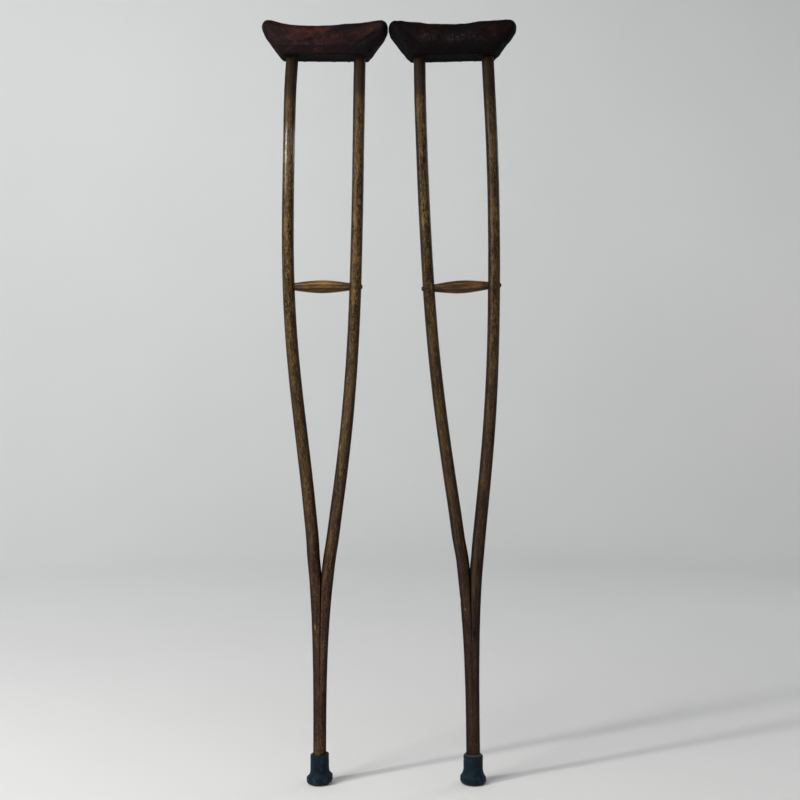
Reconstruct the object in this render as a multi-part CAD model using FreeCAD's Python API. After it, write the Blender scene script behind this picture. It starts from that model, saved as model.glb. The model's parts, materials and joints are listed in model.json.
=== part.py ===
import FreeCAD, Part
import math
import os

os.makedirs("parts", exist_ok=True)
V = FreeCAD.Vector

# ---------------------------------------------------------------------------
# Pair of wooden underarm crutches, millimetres, +Z up, front faces -Y.
# Origin: centre of the ground footprint of the pair's bounding box.
# Each crutch: two bent rods (bows) that meet face to face below a V and form
# one round shaft, a spindle hand grip screwed between the bows, a leather
# covered underarm saddle on a wooden core, and a flared rubber tip.
# ---------------------------------------------------------------------------

# ---- driving dimensions ---------------------------------------------------
SHAFT_END_Z = 16.0          # lower end of the wooden shaft, on the tip's washer
SADDLE_SEAT_Z = 1210.8      # where the bows' shoulders meet the saddle core
V_Z = 355.0                 # bottom of the V between the bows
SCARF_LOW_Z = 52.0          # below this the two halves make one true round
TENON_R = 6.0               # round tenon on each bow's top
TENON_LEN = 15.0

TIP_TOP_Z = 50.0            # rubber tip: collar top
TIP_FLARE_R = 21.7
TIP_SOLE_R = 17.6
WASHER_T = 2.0

GRIP_SOCKET_DEPTH = 2.4     # shallow seat for the grip's round end in a bow
GRIP_SOCKET_R = 6.75
GRIP_JOURNAL_R = 6.45
SCREW_SHANK_R = 2.30        # grip screws, in a 4.7 mm hole in the grip
GRIP_BORE_R = 2.35
SCREW_HEAD_R = 4.45
SCREW_HEAD_H = 3.1
SCREW_BITE = 26.0           # length of screw inside the grip

PAD_HALF_TOP = 103.4        # saddle, half length at the widest
PAD_HALF_BOTTOM = 74.0
PAD_HALF_DEPTH = 28.5
PAD_BOTTOM_Z = 1209.0
LEATHER_T = 1.8
CORE_MARGIN = 5.5

RIVET_Z = 304.0
RIVET_R = 2.0
RIVET_HEAD_R = 4.0
RIVET_HEAD_T = 1.2

# Each crutch's bows: height, centre x and width of the left and right rod.
LEFT = {
    "name": "left_crutch",
    "shaft_x": -115.15,
    "end_r": 10.80,
    "mid": [(-5.0, -115.15), (52.0, -115.15), (140.0, -114.80), (220.0, -114.15),
            (300.0, -113.05), (365.0, -111.90)],
    "spread": (12.1, 2.85),
    "rod": [(400.0, -126.60, 21.45, -94.81, 21.10), (440.0, -130.10, 21.40, -89.38, 20.95),
            (490.0, -135.14, 21.30, -82.68, 20.75), (540.0, -140.81, 21.15, -76.45, 20.60),
            (590.0, -146.75, 21.00, -70.95, 20.45), (640.0, -152.55, 20.82, -66.29, 20.33),
            (690.0, -157.77, 20.64, -62.48, 20.22), (740.0, -162.07, 20.45, -59.45, 20.11),
            (790.0, -165.24, 20.27, -57.08, 20.00), (828.0, -166.85, 20.14, -55.66, 19.92),
            (860.0, -167.71, 20.05, -54.65, 19.85), (910.0, -168.24, 19.93, -53.38, 19.75),
            (960.0, -168.04, 19.85, -52.35, 19.67), (1010.0, -167.41, 19.82, -51.49, 19.61),
            (1060.0, -166.56, 19.86, -50.72, 19.60), (1110.0, -165.51, 19.97, -49.97, 19.63),
            (1160.0, -163.83, 20.17, -49.18, 19.74), (1210.8, -160.55, 20.45, -48.25, 19.95)],
    "grip": (-111.20, 827.60, 0.0, 45.60),     # centre x, z, tilt in degrees, half gap
    "saddle": (-104.4, 0.465, 1260.4, 1268.4),  # centre x at the seat, lean, top at middle and ends
    "left_head": "sunk",
}
RIGHT = {
    "name": "right_crutch",
    "shaft_x": 140.65,
    "end_r": 11.55,
    "mid": [(-5.0, 140.65), (52.0, 140.65), (140.0, 139.60), (220.0, 138.15),
            (300.0, 136.40), (365.0, 134.95)],
    "spread": (11.5, 2.80),
    "rod": [(400.0, 117.83, 21.30, 149.64, 21.56), (440.0, 111.99, 21.06, 153.45, 21.37),
            (490.0, 104.51, 20.81, 158.35, 21.17), (540.0, 97.11, 20.60, 162.97, 21.00),
            (590.0, 90.09, 20.42, 166.97, 20.85), (640.0, 83.68, 20.26, 170.18, 20.72),
            (690.0, 78.02, 20.12, 172.55, 20.59), (740.0, 73.17, 19.99, 174.15, 20.47),
            (790.0, 69.09, 19.87, 175.11, 20.35), (828.0, 66.42, 19.79, 175.48, 20.26),
            (860.0, 64.42, 19.72, 175.60, 20.20), (910.0, 61.65, 19.64, 175.45, 20.10),
            (960.0, 59.20, 19.57, 174.88, 20.04), (1010.0, 56.98, 19.53, 173.82, 20.01),
            (1060.0, 54.97, 19.52, 172.19, 20.04), (1110.0, 53.25, 19.55, 169.95, 20.13),
            (1160.0, 51.94, 19.65, 167.30, 20.33), (1210.8, 51.20, 19.80, 164.85, 20.62)],
    "grip": (120.83, 827.40, 2.72, 44.60),
    "saddle": (107.6, -1.35, 1262.8, 1267.8),
    "left_head": "domed",
}


# ---- small helpers --------------------------------------------------------
def lerp(table, z):
    if z <= table[0][0]:
        return table[0][1]
    for (z0, a), (z1, b) in zip(table, table[1:]):
        if z <= z1:
            return a + (b - a) * (z - z0) / (z1 - z0)
    return table[-1][1]


def export(shape, name):
    if shape.ShapeType == "Compound" and len(shape.Solids) == 1:
        shape = shape.Solids[0]
    shape.exportStep("parts/%s.step" % name)
    print("%-36s solids %2d  valid %s  volume %10.1f" % (
        name, len(shape.Solids), shape.isValid(), shape.Volume))
    return shape


def section(z, x, a, b):
    """Elliptical outline at height z, half width a and half depth b."""
    m = FreeCAD.Matrix()
    m.A11, m.A22, m.A14, m.A34 = a, b, x, z
    ring = Part.Circle(V(0, 0, 0), V(0, 0, 1), 1.0).toBSpline().toShape()
    return Part.Wire([ring.transformGeometry(m).Edges[0]])


def cyl(p, d, r, h):
    return Part.makeCylinder(r, h, p, d)


def cone(p, d, r1, r2, h):
    return Part.makeCone(r1, r2, h, p, d)


# ---- bows -----------------------------------------------------------------
def stations(c, side):
    """Height, centre x, half width and half depth of one rod, bottom to top."""
    k, power = c["spread"]
    sign = -1.0 if side == "left" else 1.0
    out = []
    z0 = SCARF_LOW_Z
    for z in (SCARF_LOW_Z, 80.0, 110.0, 145.0, 180.0, 220.0, 260.0, 295.0, 325.0, 352.0, 376.0):
        s = max(0.0, (z - z0) / (365.0 - z0))
        off = k * s ** power
        f = min(1.0, max(0.0, (z - z0) / (352.0 - z0)))
        first = c["rod"][0]
        a_top = (first[2] if side == "left" else first[4]) / 2.0
        a = c["end_r"] + (a_top - c["end_r"]) * f
        b = c["end_r"] + (11.0 - c["end_r"]) * f
        mid = lerp(c["mid"], z)
        out.append((z, mid + sign * off, a, b))
    for z, xl, wl, xr, wr in c["rod"]:
        x, w = (xl, wl) if side == "left" else (xr, wr)
        out.append((z, x, w / 2.0, 11.0 - 0.6 * max(0.0, (z - 400.0) / 810.8)))
    # the last few millimetres are trimmed to the core's sloping underside
    (za, xa, _, _), (zb, xb, wb, bb) = out[-2], out[-1]
    out.append((zb + 4.0, xb + (xb - xa) / (zb - za) * 4.0, wb, bb))
    return out


def rod(c, side):
    wires = [section(*s) for s in stations(c, side)]
    body = Part.makeLoft(wires, True, False)
    foot = cyl(V(c["shaft_x"], 0, SHAFT_END_Z), V(0, 0, 1), c["end_r"], SCARF_LOW_Z - SHAFT_END_Z)
    return body.fuse(foot)


def half_space(c, side):
    """Everything on one side of the crutch's middle surface, up to the V."""
    y = 40.0
    far = -80.0 if side == "left" else 80.0
    line = [V(x, -y, z) for z, x in c["mid"]]
    line.append(V(c["mid"][-1][1], -y, 1300.0))
    poly = line + [V(line[-1].x + far * 2, -y, 1300.0), V(line[0].x + far * 2, -y, line[0].z)]
    face = Part.Face(Part.makePolygon(poly + [poly[0]]))
    return face.extrude(V(0, 2 * y, 0))


# ---- grip -----------------------------------------------------------------
GRIP_PROFILE = [(0.0, 11.1), (5.0, 11.05), (10.0, 10.8), (15.0, 10.4), (20.0, 9.95), (25.0, 9.4),
                (30.0, 8.8), (35.0, 8.1), (40.0, 7.35), (44.7, 6.75)]


def octagon(t, r):
    pts = []
    for i in range(8):
        a = math.pi / 4 * i + math.radians(18.5)     # one arris faces forward and a little down
        pts.append(V(t, r * math.cos(a), r * math.sin(a)))
    return Part.makePolygon(pts + [pts[0]])


def grip_solid(half_gap):
    k = (half_gap - 0.9) / 44.7
    prof = [(-t * k, r) for t, r in reversed(GRIP_PROFILE[1:])] + [(t * k, r) for t, r in GRIP_PROFILE]
    barrel = Part.makeLoft([octagon(t, r) for t, r in prof], True, False)
    reach = half_gap + GRIP_SOCKET_DEPTH - 0.35
    core = cyl(V(-reach, 0, 0), V(1, 0, 0), GRIP_JOURNAL_R, 2 * reach)
    g = barrel.fuse(core)
    g = g.cut(cyl(V(-reach - 1, 0, 0), V(1, 0, 0), GRIP_BORE_R, SCREW_BITE + 5.0))
    g = g.cut(cyl(V(reach + 1, 0, 0), V(-1, 0, 0), GRIP_BORE_R, SCREW_BITE + 5.0))
    return g.removeSplitter()


def domed_screw(seat, d, inner):
    """Round-head slotted wood screw: seat is the underside of its head, d points into the wood."""
    length = inner
    shank = cyl(seat, d, SCREW_SHANK_R, length - 6.0)
    tip = cone(seat + d * (length - 6.0), d, SCREW_SHANK_R, 0.5, 6.0)
    big = (SCREW_HEAD_R ** 2 + SCREW_HEAD_H ** 2) / (2 * SCREW_HEAD_H)
    ball = Part.makeSphere(big, seat - d * (SCREW_HEAD_H - big))
    keep = cyl(seat, d * -1.0, SCREW_HEAD_R, SCREW_HEAD_H + 1)
    head = ball.common(keep)
    slot = Part.makeBox(1.6, 12.0, 1.1, V(-0.8, -6.0, -0.55))
    slot.Placement = FreeCAD.Placement(seat - d * (SCREW_HEAD_H - 0.4), FreeCAD.Rotation(V(1, 0, 0), d))
    return head.fuse([shank, tip]).cut(slot).removeSplitter()


def sunk_screw(top, d, inner):
    """Countersunk slotted wood screw: top is the face of its head."""
    head = cone(top, d, SCREW_HEAD_R, SCREW_SHANK_R, 3.0)
    shank = cyl(top + d * 3.0, d, SCREW_SHANK_R, inner - 9.0)
    tip = cone(top + d * (inner - 6.0), d, SCREW_SHANK_R, 0.5, 6.0)
    slot = Part.makeBox(1.6, 12.0, 1.1, V(-0.8, -6.0, -0.55))
    slot.Placement = FreeCAD.Placement(top + d * 0.3, FreeCAD.Rotation(V(1, 0, 0), d))
    return head.fuse([shank, tip]).cut(slot).removeSplitter()


# ---- saddle, built about its own axis: u along the pad, origin at the seat --
def hollow_radius(z_mid, z_end):
    """Radius of the saddle's hollowed top, from its middle and end heights."""
    rise = z_end - z_mid
    return (90.0 ** 2 + rise ** 2) / (2.0 * rise)


def pad_form(inset, z_mid, z_end, floor_z):
    """Pad outline less an inset: domed bar bent to the hollow, ends slanting outwards."""
    rad = hollow_radius(z_mid, z_end)
    h = PAD_HALF_DEPTH - inset
    top = z_mid - inset
    deep = floor_z - 12.0
    a = V(0, -h, deep)
    b = V(0, -h, top - 24.0)
    c = V(0, -h * 0.52, top - 2.6)
    d = V(0, h * 0.52, top - 2.6)
    e = V(0, h, top - 24.0)
    f = V(0, h, deep)
    half = [
        Part.LineSegment(a, b).toShape(),
        Part.Arc(b, V(0, -h * 0.905, top - 11.0), c).toShape(),
        Part.Arc(c, V(0, 0, top), d).toShape(),
        Part.Arc(d, V(0, h * 0.905, top - 11.0), e).toShape(),
        Part.LineSegment(e, f).toShape(),
        Part.LineSegment(f, a).toShape(),
    ]
    face = Part.Face(Part.Wire(half))
    pivot = V(0, 0, z_mid + rad)
    sweep = 18.0
    face.rotate(pivot, V(0, 1, 0), -sweep)
    bar = face.revolve(pivot, V(0, 1, 0), 2 * sweep)
    # front outline
    lo = PAD_HALF_BOTTOM - inset * 0.85
    hi = PAD_HALF_TOP - inset
    zt = z_end - inset
    pts = [V(-lo, 0, floor_z), V(lo, 0, floor_z)]
    slant_end = V(hi - 2.2, 0, zt - 18.0)
    tip = V(hi, 0, zt - 10.0)
    crown = V(hi - 11.0, 0, zt + 1.2)
    edges = [Part.LineSegment(pts[0], pts[1]).toShape(),
             Part.LineSegment(pts[1], slant_end).toShape(),
             Part.Arc(slant_end, V(hi - 0.45, 0, zt - 14.2), tip).toShape(),
             Part.Arc(tip, V(hi - 2.9, 0, zt - 2.4), crown).toShape(),
             Part.LineSegment(crown, V(hi - 16.0, 0, zt + 2.0)).toShape(),
             Part.LineSegment(V(hi - 16.0, 0, zt + 2.0), V(hi - 16.0, 0, zt + 40.0)).toShape()]
    mirror = []
    for ed in edges[1:]:
        mirror.append(ed.mirror(V(0, 0, 0), V(1, 0, 0)))
    lid = Part.LineSegment(V(hi - 16.0, 0, zt + 40.0), V(-(hi - 16.0), 0, zt + 40.0)).toShape()
    outline = Part.Wire(Part.__sortEdges__(edges + [lid] + mirror))
    prism = Part.Face(outline).extrude(V(0, 120, 0))
    prism.translate(V(0, -60, 0))
    return bar.common(prism)


def core_top_cutter(z_mid, z_end):
    """Everything above the wooden core's hollowed top."""
    rad = hollow_radius(z_mid, z_end) + 25.0
    return Part.makeCylinder(rad, 120, V(0, -60, z_mid + rad - 25.0), V(0, 1, 0))


def wood_screw_down(p, length):
    """Flat-head wood screw, head face at p, pointing down."""
    d = V(0, 0, -1)
    head = cone(p, d, 4.4, 2.1, 2.6)
    shank = cyl(p + d * 2.6, d, 2.1, length - 8.6)
    tip = cone(p + d * (length - 6.0), d, 2.1, 0.5, 6.0)
    slot = Part.makeBox(10, 1.2, 1.0, p + V(-5, -0.6, -0.9))
    return head.fuse([shank, tip]).cut(slot).removeSplitter()


def tack(x, y, z):
    """Upholstery tack driven upwards; z is the underside of the leather."""
    head = cone(V(x, y, z - 1.0), V(0, 0, 1), 1.6, 2.9, 1.0)
    shank = cone(V(x, y, z), V(0, 0, 1), 0.85, 0.25, 9.0)
    return head.fuse(shank).removeSplitter()


# ---- rubber tip -----------------------------------------------------------
def tip_solid(x, bore_r):
    wall = bore_r + 4.65
    p = [V(x, 0, 0), V(x + TIP_SOLE_R, 0, 0)]
    edges = [Part.LineSegment(p[0], p[1]).toShape()]
    rim_low = V(x + TIP_FLARE_R, 0, 6.6)
    edges.append(Part.Arc(p[1], V(x + TIP_FLARE_R - 1.25, 0, 2.3), rim_low).toShape())
    rim_high = V(x + TIP_FLARE_R, 0, 10.2)
    edges.append(Part.LineSegment(rim_low, rim_high).toShape())
    a1 = V(x + TIP_FLARE_R - 1.6, 0, 13.6)
    edges.append(Part.Arc(rim_high, V(x + TIP_FLARE_R - 0.45, 0, 12.1), a1).toShape())
    a2 = V(x + wall, 0, 25.5)
    edges.append(Part.Arc(a1, V(x + wall + 1.35, 0, 18.8), a2).toShape())
    a3 = V(x + wall, 0, TIP_TOP_Z - 1.8)
    edges.append(Part.LineSegment(a2, a3).toShape())
    a4 = V(x + wall - 1.8, 0, TIP_TOP_Z)
    edges.append(Part.Arc(a3, V(x + wall - 0.53, 0, TIP_TOP_Z - 0.53), a4).toShape())
    a5 = V(x + bore_r + 0.9, 0, TIP_TOP_Z)
    edges.append(Part.LineSegment(a4, a5).toShape())
    a6 = V(x + bore_r, 0, TIP_TOP_Z - 1.2)
    edges.append(Part.LineSegment(a5, a6).toShape())
    a7 = V(x + bore_r, 0, SHAFT_END_Z - WASHER_T)
    edges.append(Part.LineSegment(a6, a7).toShape())
    a8 = V(x, 0, SHAFT_END_Z - WASHER_T)
    edges.append(Part.LineSegment(a7, a8).toShape())
    edges.append(Part.LineSegment(a8, p[0]).toShape())
    body = Part.Face(Part.Wire(edges)).revolve(V(x, 0, 0), V(0, 0, 1), 360)
    # two ring grooves in the sole
    for r0, r1 in ((7.0, 9.0), (12.2, 14.2)):
        ring = Part.makeCylinder(r1, 3.4, V(x, 0, -2.0)).cut(Part.makeCylinder(r0, 3.4, V(x, 0, -2.0)))
        body = body.cut(ring)
    return body


# ---- one crutch -----------------------------------------------------------
def crutch(c):
    n = c["name"]
    gx, gz, tilt, half_gap = c["grip"]
    ca, sa = math.cos(math.radians(tilt)), math.sin(math.radians(tilt))
    axis = V(ca, 0, sa)
    centre = V(gx, 0, gz)
    grip_place = FreeCAD.Placement(centre, FreeCAD.Rotation(V(0, 1, 0), -tilt))

    bows = {}
    outer = {}
    for side, sign in (("left", -1.0), ("right", 1.0)):
        r = rod(c, side).common(half_space(c, side))
        st = stations(c, side)[-1]
        tenon = cyl(V(st[1], 0, SADDLE_SEAT_Z - 1.0), V(0, 0, 1), TENON_R, TENON_LEN + 1.0)
        bows[side] = r.fuse(tenon)
        # half width of this rod where the grip's axis crosses it
        row = [q for q in c["rod"] if q[0] == 828.0][0]
        x, w = (row[1], row[2]) if side == "left" else (row[3], row[4])
        z = gz + (x - gx) * math.tan(math.radians(tilt))
        outer[side] = (V(x + sign * w / 2.0, 0, z + sign * w / 2.0 * math.tan(math.radians(tilt))))
    # the saddle's own axis
    sx, lean, z_mid, z_end = c["saddle"]
    saddle_place = FreeCAD.Placement(V(sx, 0, 0), FreeCAD.Rotation(V(0, 1, 0), lean), V(0, 0, SADDLE_SEAT_Z))

    # grip and its screws
    grip = grip_solid(half_gap)
    grip.Placement = grip_place
    screws = {}
    for side, sign in (("left", -1.0), ("right", 1.0)):
        inward = axis * (-sign)
        reach = (outer[side] - centre).Length
        bite = reach - half_gap + SCREW_BITE
        if side == "left" and c["left_head"] == "sunk":
            top = centre + axis * (sign * (reach - 0.35))
            screws[side] = sunk_screw(top, inward, bite - 0.35)
            room = cyl(top - inward * 4.0, inward, SCREW_HEAD_R, 4.0)
        else:
            seat = centre + axis * (sign * (reach - 0.7))
            screws[side] = domed_screw(seat, inward, bite - 0.7)
            room = cyl(seat - inward * 6.0, inward, SCREW_HEAD_R + 0.15, 6.0)
        socket = cyl(centre + axis * (sign * (half_gap - 4.0)), axis * sign, GRIP_SOCKET_R, GRIP_SOCKET_DEPTH + 4.0)
        bows[side] = bows[side].cut(room).cut(screws[side]).cut(socket)
    # rivet below the V
    mx = lerp(c["mid"], RIVET_Z)
    sl = [s for s in stations(c, "left") if s[0] == 295.0][0]
    k, power = c["spread"]
    off = k * ((RIVET_Z - SCARF_LOW_Z) / (365.0 - SCARF_LOW_Z)) ** power
    half = off + sl[2] - 0.5
    rivet = cyl(V(mx - half, 0, RIVET_Z), V(1, 0, 0), RIVET_R, 2 * half)
    rivet = rivet.fuse([cyl(V(mx - half, 0, RIVET_Z), V(1, 0, 0), RIVET_HEAD_R, RIVET_HEAD_T),
                        cyl(V(mx + half, 0, RIVET_Z), V(-1, 0, 0), RIVET_HEAD_R, RIVET_HEAD_T)]).removeSplitter()
    for side, sign in (("left", -1.0), ("right", 1.0)):
        mouth = cyl(V(mx + sign * half, 0, RIVET_Z), V(sign, 0, 0), RIVET_HEAD_R, 6.0)
        bows[side] = bows[side].cut(mouth).cut(rivet)

    # saddle core, padding, cover
    skin = pad_form(0.0, z_mid, z_end, PAD_BOTTOM_Z)
    inner = pad_form(LEATHER_T, z_mid, z_end, SADDLE_SEAT_Z)
    core = pad_form(CORE_MARGIN, z_mid, z_end, SADDLE_SEAT_Z).cut(core_top_cutter(z_mid, z_end))
    for s in (skin, inner, core):
        s.Placement = saddle_place
    padding = inner.cut(core)
    cover = skin.cut(inner)
    saddle_screws = []
    for side in ("left", "right"):
        st = stations(c, side)[-1]
        x = st[1]
        hole = section(1190.0, x, st[2] + 0.25, st[3] + 0.25)
        plug = Part.Face(hole).extrude(V(0, 0, 25.0))
        cover = cover.cut(plug)
        # find the core's top above this bow
        probe = Part.makeLine(V(x, 0, SADDLE_SEAT_Z + 5.0), V(x, 0, 1300.0)).common(core)
        z_top = probe.BoundBox.ZMax - 1.0
        screw = wood_screw_down(V(x, 0, z_top), 58.0)
        saddle_screws.append(screw)
        core = core.cut(Part.makeCylinder(4.4, 20.0, V(x, 0, z_top))).cut(screw)
        core = core.cut(cyl(V(x, 0, SADDLE_SEAT_Z - 2.0), V(0, 0, 1), TENON_R, TENON_LEN + 2.0))
        bows[side] = bows[side].cut(screw)
    # bows' tops are trimmed to the core's slightly tilted underside
    for side in ("left", "right"):
        bows[side] = bows[side].cut(core)
        cover = cover.cut(bows[side])
    padding = padding.cut(Part.makeCompound(saddle_screws))

    tacks = []
    for y in (-21.5, 21.5):
        for u in (-62.0, -37.0, -12.5, 12.5, 37.0, 62.0):
            t = tack(u, y, PAD_BOTTOM_Z)
            t.Placement = saddle_place
            tacks.append(t)
    tack_group = Part.makeCompound(tacks)
    cover = cover.cut(tack_group)
    core = core.cut(tack_group)
    padding = padding.cut(tack_group)

    tip = tip_solid(c["shaft_x"], c["end_r"])
    washer = Part.makeCylinder(c["end_r"] - 0.6, WASHER_T, V(c["shaft_x"], 0, SHAFT_END_Z - WASHER_T))
    washer = washer.cut(Part.makeCylinder(2.5, WASHER_T, V(c["shaft_x"], 0, SHAFT_END_Z - WASHER_T)))

    out = {}
    for side in ("left", "right"):
        solids = sorted(bows[side].Solids, key=lambda s: -s.Volume)
        out["%s_bow_%s" % (n, side)] = solids[0]
    out[n + "_scarf_rivet"] = rivet
    out[n + "_hand_grip"] = grip
    out[n + "_grip_screw_left"] = screws["left"]
    out[n + "_grip_screw_right"] = screws["right"]
    out[n + "_saddle_core"] = core
    out[n + "_saddle_padding"] = padding
    out[n + "_saddle_cover"] = cover
    out[n + "_saddle_screws"] = Part.makeCompound(saddle_screws)
    out[n + "_cover_tacks"] = tack_group
    out[n + "_rubber_tip"] = tip
    out[n + "_tip_washer"] = washer
    return out


def main():
    nodes = {}
    for c in (LEFT, RIGHT):
        nodes.update(crutch(c))
    for name, shape in nodes.items():
        nodes[name] = export(shape, name)
    box = FreeCAD.BoundBox()
    for s in nodes.values():
        box.add(s.optimalBoundingBox())
    print("box", [round(v, 2) for v in (box.XMin, box.XMax, box.YMin, box.YMax, box.ZMin, box.ZMax)])


main()
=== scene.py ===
import math

import bpy
import bmesh
import json
import numpy as np
from mathutils import Matrix, Vector, noise
from mathutils.bvhtree import BVHTree

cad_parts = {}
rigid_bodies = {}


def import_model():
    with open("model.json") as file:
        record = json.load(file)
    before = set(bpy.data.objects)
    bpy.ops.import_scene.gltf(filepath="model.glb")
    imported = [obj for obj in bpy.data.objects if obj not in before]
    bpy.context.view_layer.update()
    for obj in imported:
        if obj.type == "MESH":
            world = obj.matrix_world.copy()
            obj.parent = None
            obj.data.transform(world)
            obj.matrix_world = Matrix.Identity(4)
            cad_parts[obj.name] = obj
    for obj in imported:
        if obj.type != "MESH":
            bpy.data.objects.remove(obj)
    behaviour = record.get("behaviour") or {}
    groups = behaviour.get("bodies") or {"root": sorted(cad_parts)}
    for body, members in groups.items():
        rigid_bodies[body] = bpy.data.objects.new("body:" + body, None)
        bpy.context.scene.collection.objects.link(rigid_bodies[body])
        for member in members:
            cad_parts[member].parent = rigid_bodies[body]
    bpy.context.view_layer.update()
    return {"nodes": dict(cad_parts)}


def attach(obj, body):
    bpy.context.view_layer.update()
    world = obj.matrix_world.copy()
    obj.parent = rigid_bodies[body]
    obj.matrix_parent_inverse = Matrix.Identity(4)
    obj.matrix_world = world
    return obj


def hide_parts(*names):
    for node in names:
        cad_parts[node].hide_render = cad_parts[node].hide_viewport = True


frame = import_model()
scene = bpy.context.scene
NODES = frame["nodes"]

# ---------------------------------------------------------------------------
# camera: level, at the crutches' mid height, 2.12 m in front of them
# ---------------------------------------------------------------------------
cam_data = bpy.data.cameras.new("camera")
cam_data.sensor_width = 36.0
cam_data.lens = 1273.0 / 800.0 * 36.0
cam_data.clip_start, cam_data.clip_end = 0.05, 60.0
cam = bpy.data.objects.new("camera", cam_data)
scene.collection.objects.link(cam)
cam.location = (0.01873, -2.122, 0.6389)
cam.rotation_euler = (math.pi / 2, 0.0, 0.0)
scene.camera = cam
scene.view_settings.view_transform = "Standard"
scene.view_settings.look = "None"


# ---------------------------------------------------------------------------
# node helpers
# ---------------------------------------------------------------------------
class Tree:
    """A small wrapper that adds shader nodes and links them."""

    def __init__(self, name):
        self.mat = bpy.data.materials.new(name)
        self.mat.use_nodes = True
        self.t = self.mat.node_tree
        for n in list(self.t.nodes):
            self.t.nodes.remove(n)
        self.out = self.t.nodes.new("ShaderNodeOutputMaterial")

    def add(self, kind, ins=None, **props):
        n = self.t.nodes.new(kind)
        for k, v in props.items():
            setattr(n, k, v)
        for k, v in (ins or {}).items():
            self.put(n.inputs[k], v)
        return n

    def put(self, socket, v):
        if isinstance(v, bpy.types.NodeSocket):
            self.t.links.new(v, socket)
        else:
            socket.default_value = v

    def attr(self, name):
        return self.add("ShaderNodeAttribute", attribute_name=name, attribute_type="GEOMETRY")

    def scale(self, vec, s, off=(0, 0, 0)):
        m = self.add("ShaderNodeMapping", {"Vector": vec, "Scale": s, "Location": off})
        return m.outputs[0]

    def noise(self, vec, detail=4.0, rough=0.55, dist=0.0, scale=1.0, lac=2.0):
        n = self.add("ShaderNodeTexNoise", {"Vector": vec, "Scale": scale, "Detail": detail,
                                            "Roughness": rough, "Distortion": dist, "Lacunarity": lac})
        return n.outputs["Fac"]

    def ramp(self, fac, stops, mode="LINEAR"):
        n = self.add("ShaderNodeValToRGB", {"Fac": fac})
        cr = n.color_ramp
        cr.interpolation = mode
        while len(cr.elements) > 1:
            cr.elements.remove(cr.elements[-1])
        first = True
        for pos, col in stops:
            if isinstance(col, (int, float)):
                col = (col, col, col)
            e = cr.elements[0] if first else cr.elements.new(pos)
            e.position = pos
            e.color = (*col, 1.0)
            first = False
        return n.outputs["Color"]

    def mix(self, fac, a, b, blend="MIX"):
        n = self.add("ShaderNodeMix", data_type="RGBA", blend_type=blend)
        self.put(n.inputs[0], fac)
        self.put(n.inputs[6], a if isinstance(a, bpy.types.NodeSocket) else (*a, 1.0))
        self.put(n.inputs[7], b if isinstance(b, bpy.types.NodeSocket) else (*b, 1.0))
        return n.outputs[2]

    def math(self, op, a, b=0.0, c=None, clamp=False):
        n = self.add("ShaderNodeMath", operation=op, use_clamp=clamp)
        self.put(n.inputs[0], a)
        self.put(n.inputs[1], b)
        if c is not None:
            self.put(n.inputs[2], c)
        return n.outputs[0]

    def step(self, v, lo, hi, to_lo=0.0, to_hi=1.0, smooth=True):
        n = self.add("ShaderNodeMapRange", {"Value": v, "From Min": lo, "From Max": hi,
                                            "To Min": to_lo, "To Max": to_hi},
                     interpolation_type="SMOOTHSTEP" if smooth else "LINEAR")
        return n.outputs[0]

    def bump(self, height, strength, dist, normal=None):
        ins = {"Height": height, "Strength": strength, "Distance": dist}
        n = self.add("ShaderNodeBump", ins)
        if normal is not None:
            self.put(n.inputs["Normal"], normal)
        return n.outputs[0]

    def surface(self, color, rough, normal=None, **consts):
        b = self.add("ShaderNodeBsdfPrincipled")
        self.put(b.inputs["Base Color"], color if isinstance(color, bpy.types.NodeSocket) else (*color, 1.0))
        self.put(b.inputs["Roughness"], rough)
        if normal is not None:
            self.put(b.inputs["Normal"], normal)
        for k, v in consts.items():
            self.put(b.inputs[k.replace("_", " ")], v)
        self.t.links.new(b.outputs[0], self.out.inputs[0])
        return self.mat


def srgb(r, g, b):
    out = []
    for c in (r, g, b):
        c /= 255.0
        out.append(c / 12.92 if c <= 0.04045 else ((c + 0.055) / 1.055) ** 2.4)
    return tuple(out)


def new_object(name, verts, faces, smooth=True):
    me = bpy.data.meshes.new(name)
    me.from_pydata(verts, [], faces)
    me.update()
    if smooth:
        me.polygons.foreach_set("use_smooth", [True] * len(me.polygons))
    o = bpy.data.objects.new(name, me)
    scene.collection.objects.link(o)
    return o


def set_attr(me, name, values, kind="FLOAT"):
    a = me.attributes.new(name, kind, "POINT")
    if kind == "FLOAT":
        a.data.foreach_set("value", np.asarray(values, dtype=np.float32))
    else:
        a.data.foreach_set("vector", np.asarray(values, dtype=np.float32).ravel())


def fnoise(x, y, z):
    return noise.noise(Vector((x, y, z)))


def fractal(x, y, z, octaves=3):
    return noise.fractal(Vector((x, y, z)), 0.9, 2.0, octaves, noise_basis="PERLIN_ORIGINAL")


def smooth01(v, lo, hi):
    t = max(0.0, min(1.0, (v - lo) / (hi - lo)))
    return t * t * (3 - 2 * t)


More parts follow.
